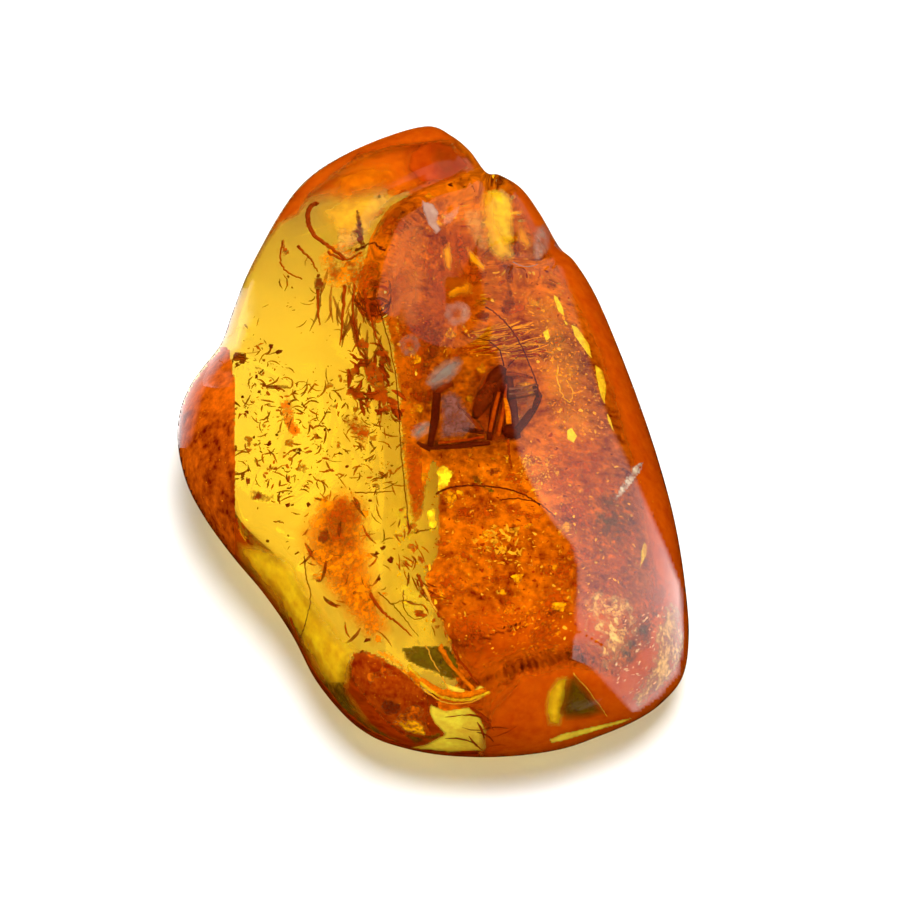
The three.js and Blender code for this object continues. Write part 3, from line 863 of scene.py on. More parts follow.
# Ragged sheets, in the same order as the glowing ones
HAZES = [
    # brown cluster under the top lobe
    (BRIGHT_ORANGE, 0.6, 14, 3.0, [
        (316, 256), (338, 236), (362, 242), (380, 250), (380, 285), (366, 305), (345, 295), (322, 285)
    ]),
    (BURNT_ORANGE, 0.75, 6, 2.8, [(326, 262), (338, 258), (344, 270), (338, 284), (328, 280)]),
    (BURNT_ORANGE, 0.6, 6, 2.8, [
        (344, 258), (360, 262), (376, 254), (378, 280), (366, 300), (350, 285)]),
    (BEIGE, 0.65, 5, 2.0, [
        (336, 230), (345, 220), (356, 222), (361, 240), (356, 258), (342, 262), (335, 248)]),
    (RED_BROWN, 0.9, 3, 1.6, [(354, 210), (359, 208), (364, 226), (367, 248), (361, 254), (355, 234)]),
    (RED_BROWN, 0.9, 3, 2.2, [(312, 277), (321, 274), (325, 284), (322, 293), (314, 290)]),
    (BURNT_ORANGE, 0.9, 3, 1.8, [
        (279, 240), (284, 236), (287, 246), (292, 252), (287, 257), (281, 256)]),
    (BURNT_ORANGE, 0.7, 4, 2.4, [
        (364, 214), (384, 206), (396, 200), (390, 212), (374, 222), (366, 226)]),
    (BURNT_ORANGE, 0.7, 4, 2.4, [(380, 226), (390, 214), (396, 214), (388, 232), (382, 236)]),
    # streak, flakes and clusters in the yellow band
    (RED_BROWN, 0.95, 2, 2.0, [(254, 381), (268, 383), (290, 385), (294, 389), (272, 391), (262, 388)]),
    (BURNT_ORANGE, 0.9, 3, 3.0, [
        (360, 360), (372, 356), (384, 372), (390, 398), (384, 414), (374, 392), (364, 380)]),
    (BURNT_ORANGE, 0.85, 3, 4.0, [(350, 386), (362, 390), (366, 402), (352, 400)]),
    (DEEP_ORANGE, 0.8, 5, 3.5, [
        (278, 400), (292, 396), (296, 420), (304, 434), (290, 440), (282, 420)]),
    (BURNT_ORANGE, 0.75, 5, 3.5, [(340, 420), (356, 410), (372, 430), (366, 452), (352, 440)]),
    (BRIGHT_ORANGE, 0.8, 16, 3.0, [
        (306, 520), (320, 497), (346, 486), (366, 500), (370, 545), (374, 590), (384, 630), (368, 645),
        (350, 620), (328, 585), (312, 560)]),
    (BRIGHT_ORANGE, 0.6, 14, 2.2, [
        (318, 556), (350, 560), (376, 584), (392, 628), (374, 640), (346, 616), (322, 584)]),
    (RED_BROWN, 0.7, 4, 2.2, [(318, 530), (328, 526), (332, 538), (326, 546), (316, 542)]),
    (BURNT_ORANGE, 0.5, 9, 2.4, [
        (320, 512), (340, 492), (356, 498), (364, 520), (358, 548), (338, 558), (322, 545)]),
    (RED_BROWN, 0.8, 4, 2.0, [
        (250, 490), (258, 488), (264, 492), (276, 494), (276, 500), (266, 504), (250, 500)]),
    (RED_BROWN, 0.8, 3, 2.0, [(244, 476), (250, 476), (252, 484), (246, 488)]),
    # dark green along the front left edge, painted shade
    (OLIVE, 0.8, 3, 0.4, [
        (236, 555), (244, 562), (262, 588), (284, 616), (300, 642), (306, 660), (296, 640), (264, 594),
        (240, 564)]),
    (OLIVE, 0.85, 5, 0.5, [
        (312, 672), (330, 680), (346, 682), (352, 700), (366, 720), (388, 734), (412, 742), (390, 742),
        (364, 731), (340, 708), (322, 686)]),
    (OLIVE, 0.9, 4, 0.5, [(398, 732), (420, 736), (445, 731), (437, 741), (415, 746)]),
    # orange bump at the front left, and its dark parts
    (BURNT_ORANGE, 1.0, 4, 0.7, [
        (347, 664), (352, 652), (362, 648), (380, 655), (398, 664), (412, 675), (427, 690), (432, 706),
        (428, 722), (434, 738), (418, 741), (400, 736), (384, 722), (366, 702), (352, 682)]),
    (DEEP_ORANGE, 0.8, 6, 0.55, [
        (350, 656), (366, 650), (392, 664), (398, 676), (376, 680), (366, 700), (354, 682)]),
    (DEEP_ORANGE, 0.7, 8, 0.5, [
        (396, 716), (412, 700), (424, 700), (430, 730), (408, 738), (390, 724)]),
    (BRIGHT_ORANGE, 0.7, 5, 0.4, [
        (372, 650), (386, 648), (420, 676), (432, 694), (420, 690), (396, 668)]),
    (RED_BROWN, 0.75, 6, 0.4, [(380, 704), (388, 694), (400, 700), (404, 712), (388, 718), (380, 713)]),
    (AMBER_GLOW, 0.55, 5, 0.35, [(396, 722), (410, 714), (424, 724), (428, 736), (408, 737)]),
    # a dark green blotch over the front edge, painted shade
    (OLIVE, 0.95, 3, 0.6, [
        (400, 647), (414, 645), (430, 644), (450, 645), (456, 656), (463, 678), (452, 682), (434, 674),
        (418, 668), (404, 660)]),
    # dark bits around the insect
    (BURNT_ORANGE, 0.85, 5, 1.5, [
        (453, 246), (460, 228), (468, 248), (474, 270), (483, 284), (474, 286), (462, 274)]),
    (RED_BROWN, 0.85, 3, 1.4, [
        (502, 262), (515, 263), (513, 285), (517, 306), (508, 316), (499, 313), (505, 290)]),
    (RED_BROWN, 0.95, 4, 1.5, [(473, 314), (482, 308), (492, 313), (488, 323), (476, 322)]),
    (RED_BROWN, 0.8, 3, 1.3, [(438, 236), (447, 234), (449, 244), (442, 248)]),
    (RED_BROWN, 0.7, 3, 1.3, [(435, 262), (445, 259), (447, 271), (438, 274)]),
    (RED_BROWN, 0.75, 8, 2.2, [(422, 334), (432, 324), (446, 328), (446, 346), (436, 366), (422, 362)]),
    (RED_BROWN, 0.75, 6, 2.2, [(418, 366), (430, 352), (438, 356), (428, 376), (420, 380)]),
    (YELLOW, 0.95, 3, 3.2, [
        (434, 468), (444, 462), (455, 472), (450, 484), (442, 496), (436, 494), (438, 480)]),
    (YELLOW, 0.8, 3, 3.2, [(425, 510), (436, 506), (438, 530), (428, 534)]),
    (OLIVE, 0.85, 2.5, 1.6, [(468, 474), (478, 474), (488, 486), (499, 490), (490, 494), (474, 484)]),
    (RED_BROWN, 0.8, 3, 1.6, [(484, 470), (500, 464), (504, 472), (492, 478)]),
    (BURNT_ORANGE, 0.7, 7, 3.5, [(495, 506), (520, 500), (548, 512), (540, 524), (512, 520)]),
    (RED_BROWN, 0.6, 5, 3.0, [(508, 520), (518, 522), (518, 536), (510, 534)]),
    (BURNT_ORANGE, 0.7, 7, 3.0, [(546, 556), (572, 552), (570, 580), (550, 584)]),
    (RED_BROWN, 0.8, 3, 1.6, [(546, 612), (562, 606), (566, 610), (550, 617)]),
    (BURNT_ORANGE, 0.65, 10, 4.0, [(428, 575), (450, 565), (470, 590), (462, 610), (440, 606)]),
    (BURNT_ORANGE, 0.6, 12, 4.0, [(455, 505), (490, 500), (500, 520), (470, 530), (450, 520)]),
    (BURNT_ORANGE, 0.75, 5, 3.0, [(404, 440), (424, 446), (424, 500), (414, 526), (408, 500)]),
    # mottled patches at the right
    (SMUDGE, 0.5, 16, 1.3, [
        (588, 500), (612, 486), (634, 500), (636, 530), (622, 552), (600, 560), (586, 536)]),
    # a pale line on the right, a painted glint
    (PALE_GLINT, 0.65, 4, 0.6, [
        (640, 452), (646, 456), (643, 470), (630, 488), (618, 502), (612, 500), (622, 482), (632, 466)
    ]),
    (SMUDGE, 0.5, 12, 0.35, [(614, 652), (628, 636), (640, 640), (638, 660), (628, 674), (616, 668)]),
    (SMUDGE, 0.55, 9, 0.35, [
        (630, 634), (644, 616), (656, 606), (662, 612), (654, 634), (650, 652), (642, 640)]),
    (BEIGE, 0.45, 16, 0.45, [
        (580, 600), (600, 588), (634, 600), (640, 630), (622, 676), (600, 668), (584, 640)]),
    (BEIGE, 0.75, 10, 0.4, [
        (656, 622), (670, 592), (682, 612), (686, 650), (670, 688), (640, 712), (630, 700), (648, 668)
    ]),
]

# Darker parts behind, in the same order
SHADES = [
    (BURNT_ORANGE, 0.35, 24, 4.0, [
        (530, 450), (580, 425), (625, 460), (652, 530), (650, 600), (582, 610), (578, 560), (545, 505)
    ]),
    (BURNT_ORANGE, 0.6, 10, 0.5, [
        (652, 556), (668, 590), (662, 620), (640, 652), (630, 622), (640, 590)]),
    (BURNT_ORANGE, 0.6, 16, 4.2, [
        (395, 300), (420, 290), (440, 310), (440, 360), (430, 400), (405, 400), (395, 350)]),
    (BURNT_ORANGE, 0.6, 10, 4.2, [
        (424, 230), (440, 236), (444, 270), (436, 300), (424, 300), (420, 260)]),
    (BURNT_ORANGE, 0.5, 12, 4.2, [
        (486, 200), (500, 190), (520, 230), (524, 256), (500, 268), (486, 250)]),
    (RED_BROWN, 0.25, 14, 4.4, [
        (408, 380), (440, 372), (500, 350), (530, 370), (530, 440), (480, 456), (415, 450)]),
    (BURNT_ORANGE, 0.5, 14, 4.2, [
        (540, 590), (570, 560), (575, 600), (560, 640), (530, 650), (520, 620)]),
    (BURNT_ORANGE, 0.5, 16, 4.2, [(442, 620), (480, 610), (500, 640), (480, 664), (452, 650)]),
]

# The insect: tint, cover, widths, swelling, depths, path
LIMBS = [
    (DARK_BROWN, 1.0, (6, 9), 1, (3.0, 3.2), [(508, 372), (512, 400), (516, 438)]),
    (DARK_BROWN, 1.0, (7, 5), 2, (2.9, 3.2), [(503, 374), (496, 402), (489, 440)]),
    # a lighter orange line down the insect's body, a painted highlight
    (BURNT_ORANGE, 1.0, (3, 3), 1, (2.7, 2.9), [(499, 392), (494, 412), (490, 432)]),
    (BURNT_ORANGE, 1.0, (2, 4), 1, (2.8, 3.0), [(506, 384), (504, 410), (498, 436)]),
    (BRIGHT_ORANGE, 0.9, (3, 5), 1, (2.7, 2.8), [(505, 398), (508, 411), (509, 424)]),
    (DARK_BROWN, 1.0, (5, 4), 1, (3.1, 3.0), [(490, 443), (460, 446), (427, 448)]),
    (BURNT_ORANGE, 1.0, (3, 3), 0, (3.0, 3.0), [(484, 437), (458, 441), (438, 443)]),
    (DARK_BROWN, 1.0, (7, 3), 0, (3.0, 2.9), [(431, 449), (423, 446), (417, 442)]),
    (CUTICLE, 1.0, (5, 6), 1, (2.9, 2.7), [(452, 384), (444, 387), (437, 393)]),
    (DARK_BROWN, 1.0, (8, 6), 2, (2.7, 2.8), [(437, 393), (435, 418), (430, 446)]),
    (CUTICLE, 1.0, (2, 3), 1, (2.9, 3.0), [(458, 406), (470, 417), (484, 434)]),
    (DARK_BROWN, 0.9, (4, 5), 2, (2.9, 3.0), [(460, 428), (470, 430), (484, 432)]),
    (GREY_BROWN, 1.0, (3, 2), 0, (2.7, 2.8), [(509, 389), (522, 388), (536, 384)]),
    (GREY_BROWN, 1.0, (2, 2), 0, (2.7, 2.8), [(509, 394), (522, 393), (537, 389)]),
    (DARK_BROWN, 0.8, (2, 2), 0, (2.7, 2.8), [(509, 399), (522, 397), (536, 394)]),
    (DARK_BROWN, 0.85, (4, 5), 2, (2.9, 3.0), [(534, 386), (539, 396), (534, 410)]),
    (DARK_BROWN, 0.85, (7, 8), 1, (3.0, 3.1), [(533, 410), (524, 422), (512, 436)]),
    (CUTICLE, 0.8, (4, 3), 1, (2.6, 2.6), [(506, 374), (520, 375), (533, 378)]),
    (DARK_BROWN, 1.0, (1.4, 0.7), 0, (2.5, 2.2), [(504, 366), (500, 350), (488, 340), (476, 338)]),
    (DARK_BROWN, 1.0, (1.4, 0.7), 0, (2.5, 2.2), [(508, 366), (518, 356), (530, 356)]),
]
BODY = [
    (DARK_BROWN, 1.0, (9, 8), 5, (2.9, 3.1), [(503, 367), (497, 374), (489, 385)]),
    (RED_BROWN, 0.8, (8, 6), 9, (3.0, 3.2), [(494, 379), (485, 396), (475, 418)]),
    (DARK_BROWN, 1.0, (5, 6), 3, (2.9, 3.0), [(503, 382), (503, 393)]),
    (DARK_BROWN, 1.0, (7, 6), 8, (3.0, 3.0), [(504, 428), (516, 436)]),
]
SHEETS = [
    (CUTICLE, 0.85, 5, 3.3, [
        (488, 362), (504, 362), (510, 380), (518, 441), (490, 446), (482, 434), (468, 412), (472, 396),
        (480, 378)]),
    (RED_BROWN, 0.7, 4, 3.2, [
        (426, 438), (450, 440), (486, 434), (492, 444), (460, 450), (428, 452), (418, 446)]),
    (GREY_BROWN, 0.6, 5, 3.1, [
        (506, 386), (537, 382), (542, 396), (536, 410), (522, 434), (508, 443), (504, 430), (514, 420),
        (524, 406), (507, 404)]),
    (GREY_BROWN, 0.35, 6, 3.0, [(508, 368), (532, 370), (537, 382), (508, 386)]),
    (DARK_BROWN, 0.9, 5, 3.4, [(498, 424), (516, 420), (520, 440), (502, 444)]),
    (RED_BROWN, 0.7, 4, 3.0, [
        (430, 384), (442, 380), (458, 382), (450, 392), (442, 396), (440, 444), (428, 450), (430, 410)
    ]),
    (RED_BROWN, 0.7, 4, 2.9, [(418, 394), (425, 396), (430, 408), (424, 410)]),
]
WING = [(440, 394), (451, 389), (462, 395), (469, 410), (477, 428), (464, 437), (438, 441)]

# Bright slits: small lenses with a clean edge
SLITS = [
    [(553, 294), (558, 296), (564, 309), (565, 318), (558, 312), (554, 301)],
    [(570, 323), (579, 328), (590, 345), (593, 361), (586, 353), (574, 336)],
    [(594, 363), (603, 370), (607, 385), (605, 406), (600, 396), (596, 378)],
    [(644, 540), (648, 546), (647, 556), (642, 565), (637, 577), (640, 563), (641, 550)],
    [(566, 430), (572, 427), (578, 436), (574, 444), (567, 440)],
    [(542, 332), (548, 328), (551, 338), (546, 343)],
    [(606, 410), (611, 418), (616, 436), (612, 430), (607, 420)],
    [(562, 318), (567, 321), (570, 327), (565, 325)],
]

# Threads: tint, widths, depth, path
THREADS = [
    (BURNT_ORANGE, (6, 3), 1.8, [
        (317, 203), (308, 208), (308, 224), (314, 236), (328, 246), (345, 258)]),
    (BURNT_ORANGE, (2, 1.5), 1.8, [(283, 240), (279, 262), (287, 273), (302, 279)]),
    (RED_BROWN, (4, 2), 1.6, [(357, 250), (364, 246), (374, 241), (382, 250)]),
    (BURNT_ORANGE, (3, 2), 1.8, [(328, 252), (345, 262), (362, 252)]),
    (BURNT_ORANGE, (3, 1), 2.5, [(298, 246), (310, 258), (318, 272)]),
    (BURNT_ORANGE, (4, 1), 2.5, [(318, 290), (318, 310), (320, 325)]),
    (BURNT_ORANGE, (5, 1), 2.8, [(345, 285), (343, 315), (340, 345)]),
    (BURNT_ORANGE, (4, 1), 2.8, [(355, 285), (352, 310), (358, 340), (352, 352)]),
    (BURNT_ORANGE, (3, 1), 2.8, [(364, 290), (370, 320), (380, 345)]),
    (RED_BROWN, (1.3, 1.3), 0.6, [
        (377, 300), (386, 330), (396, 372), (399, 410), (401, 450), (405, 490), (409, 528)]),
    (RED_BROWN, (1.6, 1.6), 0.8, [
        (486, 307), (497, 314), (511, 328), (523, 348), (531, 368), (538, 386), (541, 400)]),
    (RED_BROWN, (1.6, 1.2), 0.6, [
        (304, 556), (306, 578), (311, 592), (310, 606), (305, 624), (299, 643)]),
    (BURNT_ORANGE, (5, 3), 0.5, [(290, 618), (296, 632), (299, 643)]),
    (GOLD, (1.5, 1), 0.4, [(573, 674), (590, 692), (607, 716)]),
    (GOLD, (1.6, 1), 0.5, [(426, 646), (434, 664), (450, 690)]),
    (BRIGHT_ORANGE, (6, 4), 0.5, [(440, 646), (452, 668), (474, 690)]),
    (BURNT_ORANGE, (3, 2), 0.4, [(452, 646), (462, 664), (478, 684)]),
    (BRIGHT_ORANGE, (8, 4), 0.4, [(410, 672), (436, 692), (464, 697), (486, 690)]),
    (OCHRE, (5, 3), 0.35, [(408, 666), (424, 686), (446, 699), (470, 701), (490, 692)]),
    (GOLD, (2, 1), 0.3, [(424, 690), (444, 704), (470, 704), (490, 692)]),
    (RED_BROWN, (1.4, 0.8), 1.0, [(378, 592), (392, 604), (404, 618), (418, 636)]),
    (RED_BROWN, (1.2, 0.8), 1.0, [(404, 590), (402, 606), (412, 620), (424, 618)]),
    (RED_BROWN, (1.0, 0.8), 1.0, [(392, 604), (404, 600), (418, 604)]),
    (BURNT_ORANGE, (4, 1), 1.6, [(370, 594), (382, 612), (396, 622), (412, 636)]),
    (BURNT_ORANGE, (4, 2), 1.6, [(418, 575), (424, 590), (434, 606), (440, 618)]),
    (GOLD, (4, 2), 1.4, [(424, 587), (430, 600), (437, 612)]),
    (GOLD, (1.5, 1), 1.0, [(558, 366), (557, 380), (562, 396), (570, 404), (574, 392), (566, 380)]),
    (RED_BROWN, (2.5, 1.5), 3.0, [
        (436, 494), (450, 487), (470, 485), (500, 487), (525, 494), (540, 505)]),
    (RED_BROWN, (1.6, 1), 3.0, [(500, 500), (520, 498), (540, 503), (555, 516)]),
    (RED_BROWN, (1.6, 1), 1.5, [(415, 533), (424, 530), (436, 528)]),
    (RED_BROWN, (1.5, 1), 1.5, [(355, 492), (372, 493), (394, 491)]),
    # a pale line along the chip in the right edge, a painted highlight
    (PALE_GLINT, (1.2, 0.8), 0.2, [(513, 262), (520, 266), (530, 267), (538, 264)]),
    # painted shade along the front left edge
    (RIM_SHADE_ORANGE, (2.5, 2.5), 0.2, [(300, 646), (316, 676), (343, 709), (367, 729), (393, 741)]),
    (BURNT_ORANGE, (3, 1.5), 0.8, [(508, 440), (510, 462), (512, 468)]),
]

# Small dark grains seen one by one: middle and size in pixels
DARK_DOTS = [
    (271, 346, 7), (279, 351, 8), (286, 218, 6), (363, 309, 6), (319, 275, 5), (383, 548, 6),
    (377, 553, 5), (391, 560, 7), (378, 580, 5), (371, 500, 4), (308, 504, 5), (347, 466, 5),
    (300, 450, 5), (270, 443, 6), (256, 376, 5), (259, 392, 5), (247, 412, 5), (628, 495, 3),
    (640, 480, 3), (641, 616, 4), (420, 736, 5), (450, 185, 6), (611, 454, 3), (368, 640, 7),
    (362, 652, 5), (318, 580, 4), (288, 505, 5),
]

# The pale reflection on the right of the face, and how bright it is down the photograph
VEIL = [
    (462, 206), (480, 196), (500, 240), (508, 262), (530, 268), (548, 262), (562, 268), (572, 300),
    (586, 350), (600, 395), (612, 430), (640, 490), (666, 550), (679, 585), (683, 636), (677, 673),
    (658, 696), (634, 712), (618, 696), (596, 672), (583, 660), (580, 640), (577, 620), (578, 590),
    (578, 565), (573, 545), (556, 525), (542, 505), (528, 475), (520, 455), (512, 415), (504, 380),
    (494, 340), (487, 305), (478, 260),
]
RIM_LIGHT = [
    (168, 424), (170, 396), (182, 374), (198, 356), (214, 336), (222, 310), (232, 288), (248, 290),
    (243, 318), (234, 347), (220, 356), (205, 372), (195, 392), (190, 414), (185, 436), (178, 448),
    (168, 446),
]
VEIL_LEVELS = [(200, 0.4), (300, 0.42), (400, 0.65), (450, 1.1), (520, 1.8), (600, 2.6), (700, 1.6)]
RIM_LEVELS = [(290, 1.2), (370, 1.9), (450, 1.6)]
CARD_REACH = 30 * MM  # how far from the stone a card is
CARD_LIFT = 0.4 * MM  # how far above the floor it stays

# The floor, the sky and the lamps
FLOOR_SIZE = 1.6
FLOOR_DROP = 0.02 * MM
FLOOR_GREY = 0.9
FLOOR_ROUGHNESS = 0.7
SKY_STRENGTH = 0.45
OVERHEAD = {"centre": (0, 0, 0.7), "size": 1.8, "radiance": 4.0}
KEY = {"centre": (0.04, -0.03, 0.6), "size": 0.25, "radiance": 26}
LIGHT_BOUNCES = 16
GLOSSY_BOUNCES = 12

# Where the camera stands
across, up = flat((PHOTO_SIZE / 2, PHOTO_SIZE / 2))
target = Vector(place(np.array(across), np.array(up), np.array(0.0)))
towards_viewer = Vector((0, -COS_SIGHT, SIN_SIGHT))
camera_spot = target + towards_viewer * CAMERA_DISTANCE

amber = stone_mesh()
stone_tree = BVHTree.FromObject(amber, bpy.context.evaluated_depsgraph_get())
amber.data.materials.append(amber_material())
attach(amber, "root")
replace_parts(amber, "amber_lower", "amber_upper")

# What is sealed in the stone
rind = Joined()
add_veil(rind, MAIN_RIND, DEEP_ORANGE, 6.5, share=0.93, feather=4, step=2)
add_veil(rind, LEFT_RIND, LOBE_ORANGE, 1.0, feather=2, step=2.5)
crust = sealed_material("rind", coarse=300, fine=2200, contrast=0.7, ragged=0.5, bump=0.8)
rind.build("rind", crust)

glows = Joined()
add_veils(glows, GLOWS, step=1.5, uneven=0.06)
for tint, cover, feather, depth, outline, hollow in RINGS:
    add_veil(glows, outline, tint, depth, cover=cover, feather=feather, step=1.5, uneven=0.1,
             hollow=hollow)
glow = sealed_material("glows", coarse=500, fine=1800, contrast=0.14, ragged=0.15)
glows.build("glows", glow)

hazes = Joined()
add_veils(hazes, HAZES, step=2)
add_veils(hazes, SHADES, step=2)
add_clumps(hazes, DENSE_SPECKS, 60, (5, 12), (1.5, 6), HAIR_BROWN, cover=0.8, seed=61)
add_clumps(hazes, CLUSTER_RIGHT, 16, (8, 20), (2, 5), BURNT_ORANGE, seed=62)
add_clumps(hazes, RIND_MIDDLE, 60, (8, 26), (3.6, 6), BURNT_ORANGE, cover=0.6, seed=63)
add_clumps(hazes, RIND_MIDDLE, 60, (6, 20), (3.6, 6), AMBER_GLOW, cover=0.6, seed=64)
add_clumps(hazes, EDGE_GAP, 26, (5, 16), (2.5, 5), BURNT_ORANGE, cover=0.8, seed=65)
add_clumps(hazes, CLOUD, 14, (8, 26), (2, 3), BRIGHT_ORANGE, cover=0.6, seed=66)
haze = sealed_material("hazes", coarse=900, fine=3500, contrast=0.4, ragged=0.9)
hazes.build("hazes", haze)

insect = Joined()
add_veils(insect, SHEETS, step=1.5, uneven=0.1)
add_veil(insect, WING, PURPLE_GREY, 2.5, cover=0.75, feather=7, step=1.5, uneven=0.1)
for tint, cover, width, swell, depth, path in BODY:
    add_strand(insect, path, width, depth, tint, cover=cover, sides=14, swell=swell)
for tint, cover, width, swell, depth, path in LIMBS:
    add_strand(insect, path, width, depth, tint, cover=cover, sides=8, swell=swell, flatness=0.6)
cuticle = sealed_material("cuticle", coarse=1500, fine=7000, contrast=0.32, ragged=0.15,
                          roughness=0.4, bump=0.3)
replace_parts(insect.build("insect_body", cuticle), "insect")

# Grains, flakes and bent threads: where, how many, size or length and width, depth, tint
specks = Joined()
add_scatter(specks, YELLOW_BAND, 120, (2, 5), (1.5, 8), RED_BROWN, stretch=(1.5, 4), cover=0.85,
            seed=11)
add_scatter(specks, DENSE_SPECKS, 260, (1.5, 5), (1.5, 8), RED_BROWN, stretch=(1.2, 4), cover=0.85,
            seed=21)
add_flakes(specks, DENSE_SPECKS, 90, (4, 11), (1.5, 8), BURNT_ORANGE, stretch=(1.5, 4), cover=0.9,
           seed=12)
add_wisps(specks, DENSE_SPECKS, 190, (5, 16), (1, 2.2), (1.5, 7), HAIR_BROWN, bend=100, cover=0.8,
          seed=31)
add_wisps(specks, YELLOW_BAND, 70, (5, 20), (0.8, 1.6), (1.5, 7), HAIR_BROWN, bend=100, cover=0.7,
          seed=32)
add_wisps(specks, WISPS_TOP, 34, (14, 44), (2, 4), (2, 5), BURNT_ORANGE, lean=-88, spread=22,
          bend=50, cover=0.5, seed=33)
add_wisps(specks, CLUSTER_RIGHT, 34, (8, 20), (2, 5), (2, 5), BURNT_ORANGE, lean=-60, spread=70,
          cover=0.9, seed=34)
add_wisps(specks, CLOUD, 30, (8, 26), (1.5, 4), (1.8, 4), BURNT_ORANGE, lean=-70, spread=60,
          cover=0.7, seed=35)
# yellow flakes beside the rind: partly real flakes, partly painted glints
add_flakes(specks, EDGE_GAP, 60, (2, 9), (2.5, 4.5), YELLOW, stretch=(1.2, 4), lean=-60, spread=40,
           seed=54)
add_wisps(specks, YELLOW_PATCH, 16, (12, 36), (1.5, 5), (0.3, 0.5), BURNT_ORANGE, lean=-20,
          spread=40, cover=0.8, seed=37)
add_wisps(specks, EDGE_GAP, 34, (6, 18), (1, 2.5), (1.5, 4), BURNT_ORANGE, lean=-60, spread=40,
          cover=0.8, seed=36)
# gold flakes over the rind: partly real flakes, partly painted glints
add_flakes(specks, RIND_CORE, 1700, (1.2, 6), (1.5, 6.3), GOLD, stretch=(1, 4), seed=13,
           bare=INSECT_AREA)
add_flakes(specks, RIND_CORE, 900, (1.5, 7), (2, 6.3), BURNT_ORANGE, stretch=(1, 3), seed=14,
           bare=INSECT_AREA)
# the sparkling patches: the gold flakes are partly real flakes, partly painted glints
add_flakes(specks, SWIRL, 60, (5, 14), (3, 5.5), GOLD, stretch=(1.5, 4), seed=41)
add_flakes(specks, SWIRL, 30, (3, 8), (2.5, 5), BURNT_ORANGE, stretch=(1.5, 4), seed=42)
add_flakes(specks, LOW_SWIRL, 16, (3, 7), (2.5, 5), GOLD, stretch=(1.5, 3), spread=20, seed=43)
# sparkling grains and gold wrinkles: partly real flakes, partly painted glints
add_flakes(specks, SUNLIT_GRAINS, 260, (1, 3.2), (2, 5), GOLD, stretch=(1, 3), seed=44)
add_flakes(specks, GOLD_WRINKLES, 130, (1.5, 6), (2, 4.5), AMBER_GLOW, stretch=(1.5, 5), lean=35,
           spread=40, seed=45)
add_wisps(specks, FAN, 60, (14, 34), (1, 2.6), (2.6, 4.5), AMBER_GLOW, lean=12, spread=14, bend=20,
          seed=46)
add_wisps(specks, FAN, 30, (14, 30), (1, 2.2), (2.4, 4), BURNT_ORANGE, lean=12, spread=14, bend=20,
          seed=47)
add_flakes(specks, RIGHT_GRAINS, 800, (1, 5), (1.2, 5), AMBER_GLOW, stretch=(1, 4), seed=48,
           bare=INSECT_AREA)
add_flakes(specks, LOW_RIGHT, 220, (1.5, 8), (0.3, 0.45), PALE_BEIGE, stretch=(1.5, 5), lean=40,
           spread=30, seed=49)
add_flakes(specks, RIGHT_EDGE, 150, (2, 7), (0.25, 0.5), BURNT_ORANGE, stretch=(1.5, 4), lean=60,
           spread=30, cover=0.6, seed=52)
add_flakes(specks, RIGHT_EDGE, 120, (1, 4), (0.25, 0.5), AMBER_GLOW, stretch=(1.5, 4), lean=60,
           spread=30, seed=53)
add_flakes(specks, LEFT_RIND, 110, (1, 3.5), (0.4, 0.9), AMBER_GLOW, stretch=(1.5, 6), lean=-60,
           spread=40, seed=50)
add_flakes(specks, BUMP, 110, (1, 3.5), (0.25, 0.6), AMBER_GLOW, stretch=(1.5, 5), lean=-50,
           spread=40, seed=51)
for x, y, size in DARK_DOTS:
    around = [(x - 1, y - 1), (x + 1, y - 1), (x + 1, y + 1), (x - 1, y + 1)]
    add_scatter(specks, around, 2, (size, size + 1), (1.4, 1.8), RED_BROWN, cover=0.95, seed=x)
for slit in SLITS:
    add_veil(specks, slit, YELLOW, 1.2, feather=1, step=1)
for number, (tint, width, depth, path) in enumerate(THREADS):
    add_strand(specks, rounded(path), width, depth, tint, cover=0.85, wobble=0.35, seed=number)
debris = sealed_material("specks", coarse=3000, fine=9000, contrast=0.3, ragged=0.1, warmth=0.3)
specks.build("specks", debris)

camera_data = bpy.data.cameras.new("camera")
camera_data.sensor_width = SENSOR_WIDTH
camera_data.lens = SENSOR_WIDTH * CAMERA_DISTANCE / (PHOTO_SIZE * PIXEL)
camera = bpy.data.objects.new("camera", camera_data)
camera.location = camera_spot
camera.rotation_euler = (math.pi / 2 - SIGHT_ELEVATION, 0, 0)
bpy.context.scene.collection.objects.link(camera)
bpy.context.scene.camera = camera

bpy.ops.mesh.primitive_plane_add(size=FLOOR_SIZE, location=(0, 0, -FLOOR_DROP))
floor = bpy.context.object
floor.name = "floor"
floor_grey = (FLOOR_GREY, FLOOR_GREY, FLOOR_GREY, 1)
floor.data.materials.append(principled("floor", Base_Color=floor_grey, Roughness=FLOOR_ROUGHNESS))
floor.visible_glossy = False

world = bpy.data.worlds.new("world")
bpy.context.scene.world = world
world.use_nodes = True
world.node_tree.nodes["Background"].inputs["Color"].default_value = (1, 1, 1, 1)
world.node_tree.nodes["Background"].inputs["Strength"].default_value = SKY_STRENGTH
world.cycles_visibility.glossy = False


def lamp_panel(name, centre, size, radiance):
    """A square soft lamp that faces the stone; its radiance is the same however large it is."""
    data = bpy.data.lights.new(name, "AREA")
    data.shape = "RECTANGLE"
    data.size = size
    data.size_y = size
    data.energy = radiance * math.pi * size * size
    lamp = bpy.data.objects.new(name, data)
    lamp.location = centre
    lamp.rotation_euler = Vector(centre).to_track_quat("Z", "Y").to_euler()
    lamp.visible_glossy = False
    bpy.context.scene.collection.objects.link(lamp)
    return lamp


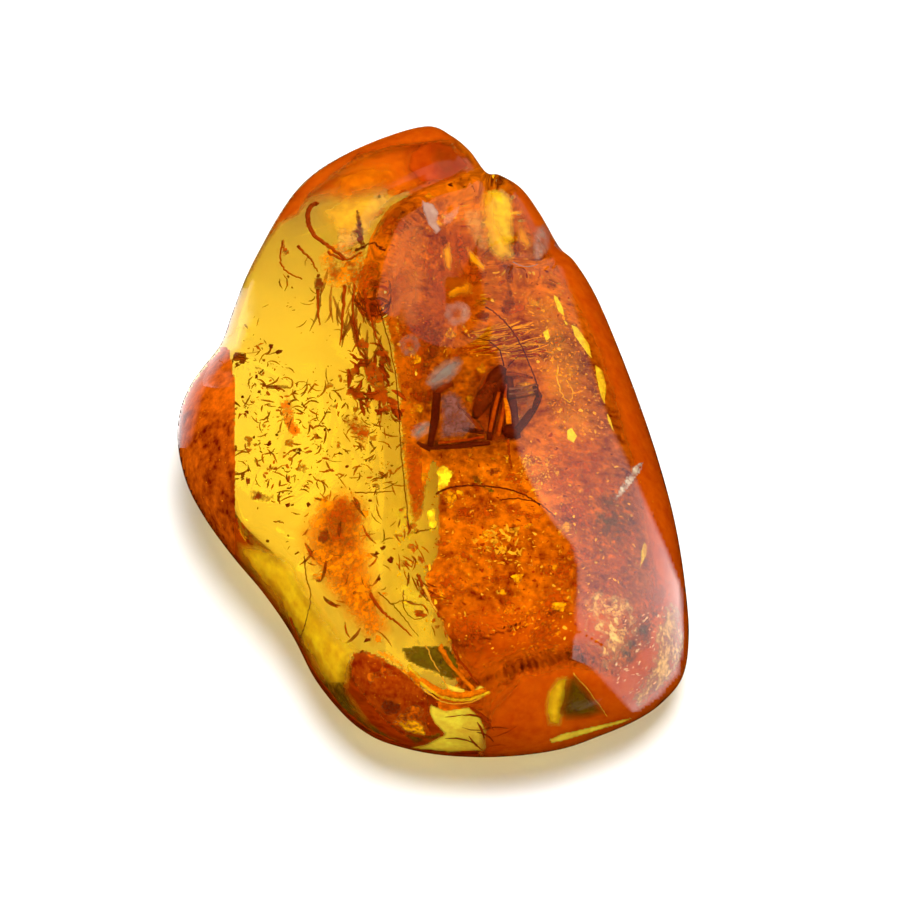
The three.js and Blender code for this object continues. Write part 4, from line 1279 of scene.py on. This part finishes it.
def shaped_card(name, outline, levels, feather, step=3):
    """A white card near the stone, cut so that it shows in the stone's face as this outline."""
    columns, rows = pixel_grid(outline, step)
    numbers = np.full((len(rows), len(columns)), -1)
    points, glow = [], []
    for j, y in enumerate(rows):
        for i, x in enumerate(columns):
            away = float(distance_to_path(x, y, [*outline, outline[0]]))
            inwards = away if inside_polygon(x, y, outline) else -away
            if inwards < -feather / 2 - step:
                continue
            spot, ray = mirrored((x, y))
            if spot is None:
                continue
            run = CARD_REACH
            if ray.z < 0:
                run = min(run, (spot.z - CARD_LIFT) / -ray.z)
            numbers[j, i] = len(points)
            points.append(spot + ray * run)
            level = np.interp(y, *zip(*levels))
            glow.append((level, level, level, np.clip(0.5 + inwards / feather, 0, 1)))
    card = mesh_object(name, points, grid_faces(numbers))
    layer = card.data.color_attributes.new("glow", "FLOAT_COLOR", "POINT")
    layer.data.foreach_set("color", np.array(glow).ravel())
    material = bpy.data.materials.new(name)
    material.use_nodes = True
    tree = material.node_tree
    tree.nodes.clear()
    light = tree.nodes.new("ShaderNodeEmission")
    level = tree.nodes.new("ShaderNodeVertexColor")
    level.layer_name = "glow"
    tree.links.new(level.outputs["Color"], light.inputs["Color"])
    edge = tree.nodes.new("ShaderNodeMixShader")
    tree.links.new(level.outputs["Alpha"], edge.inputs[0])
    tree.links.new(tree.nodes.new("ShaderNodeBsdfTransparent").outputs[0], edge.inputs[1])
    tree.links.new(light.outputs[0], edge.inputs[2])
    output = tree.nodes.new("ShaderNodeOutputMaterial")
    tree.links.new(edge.outputs[0], output.inputs["Surface"])
    card.data.materials.append(material)
    card.visible_camera = False
    card.visible_diffuse = False
    card.visible_transmission = False
    card.visible_shadow = False


shaped_card("right card", VEIL, VEIL_LEVELS, feather=4)
shaped_card("left card", RIM_LIGHT, RIM_LEVELS, feather=18, step=1)
overhead = lamp_panel("overhead", **OVERHEAD)
overhead.visible_diffuse = False
key = lamp_panel("key", **KEY)
key.visible_transmission = False

scene = bpy.context.scene
scene.view_settings.view_transform = "Standard"
scene.cycles.max_bounces = LIGHT_BOUNCES
scene.cycles.transmission_bounces = LIGHT_BOUNCES
scene.cycles.glossy_bounces = GLOSSY_BOUNCES
scene.cycles.transparent_max_bounces = LIGHT_BOUNCES
scene.cycles.use_denoising = True
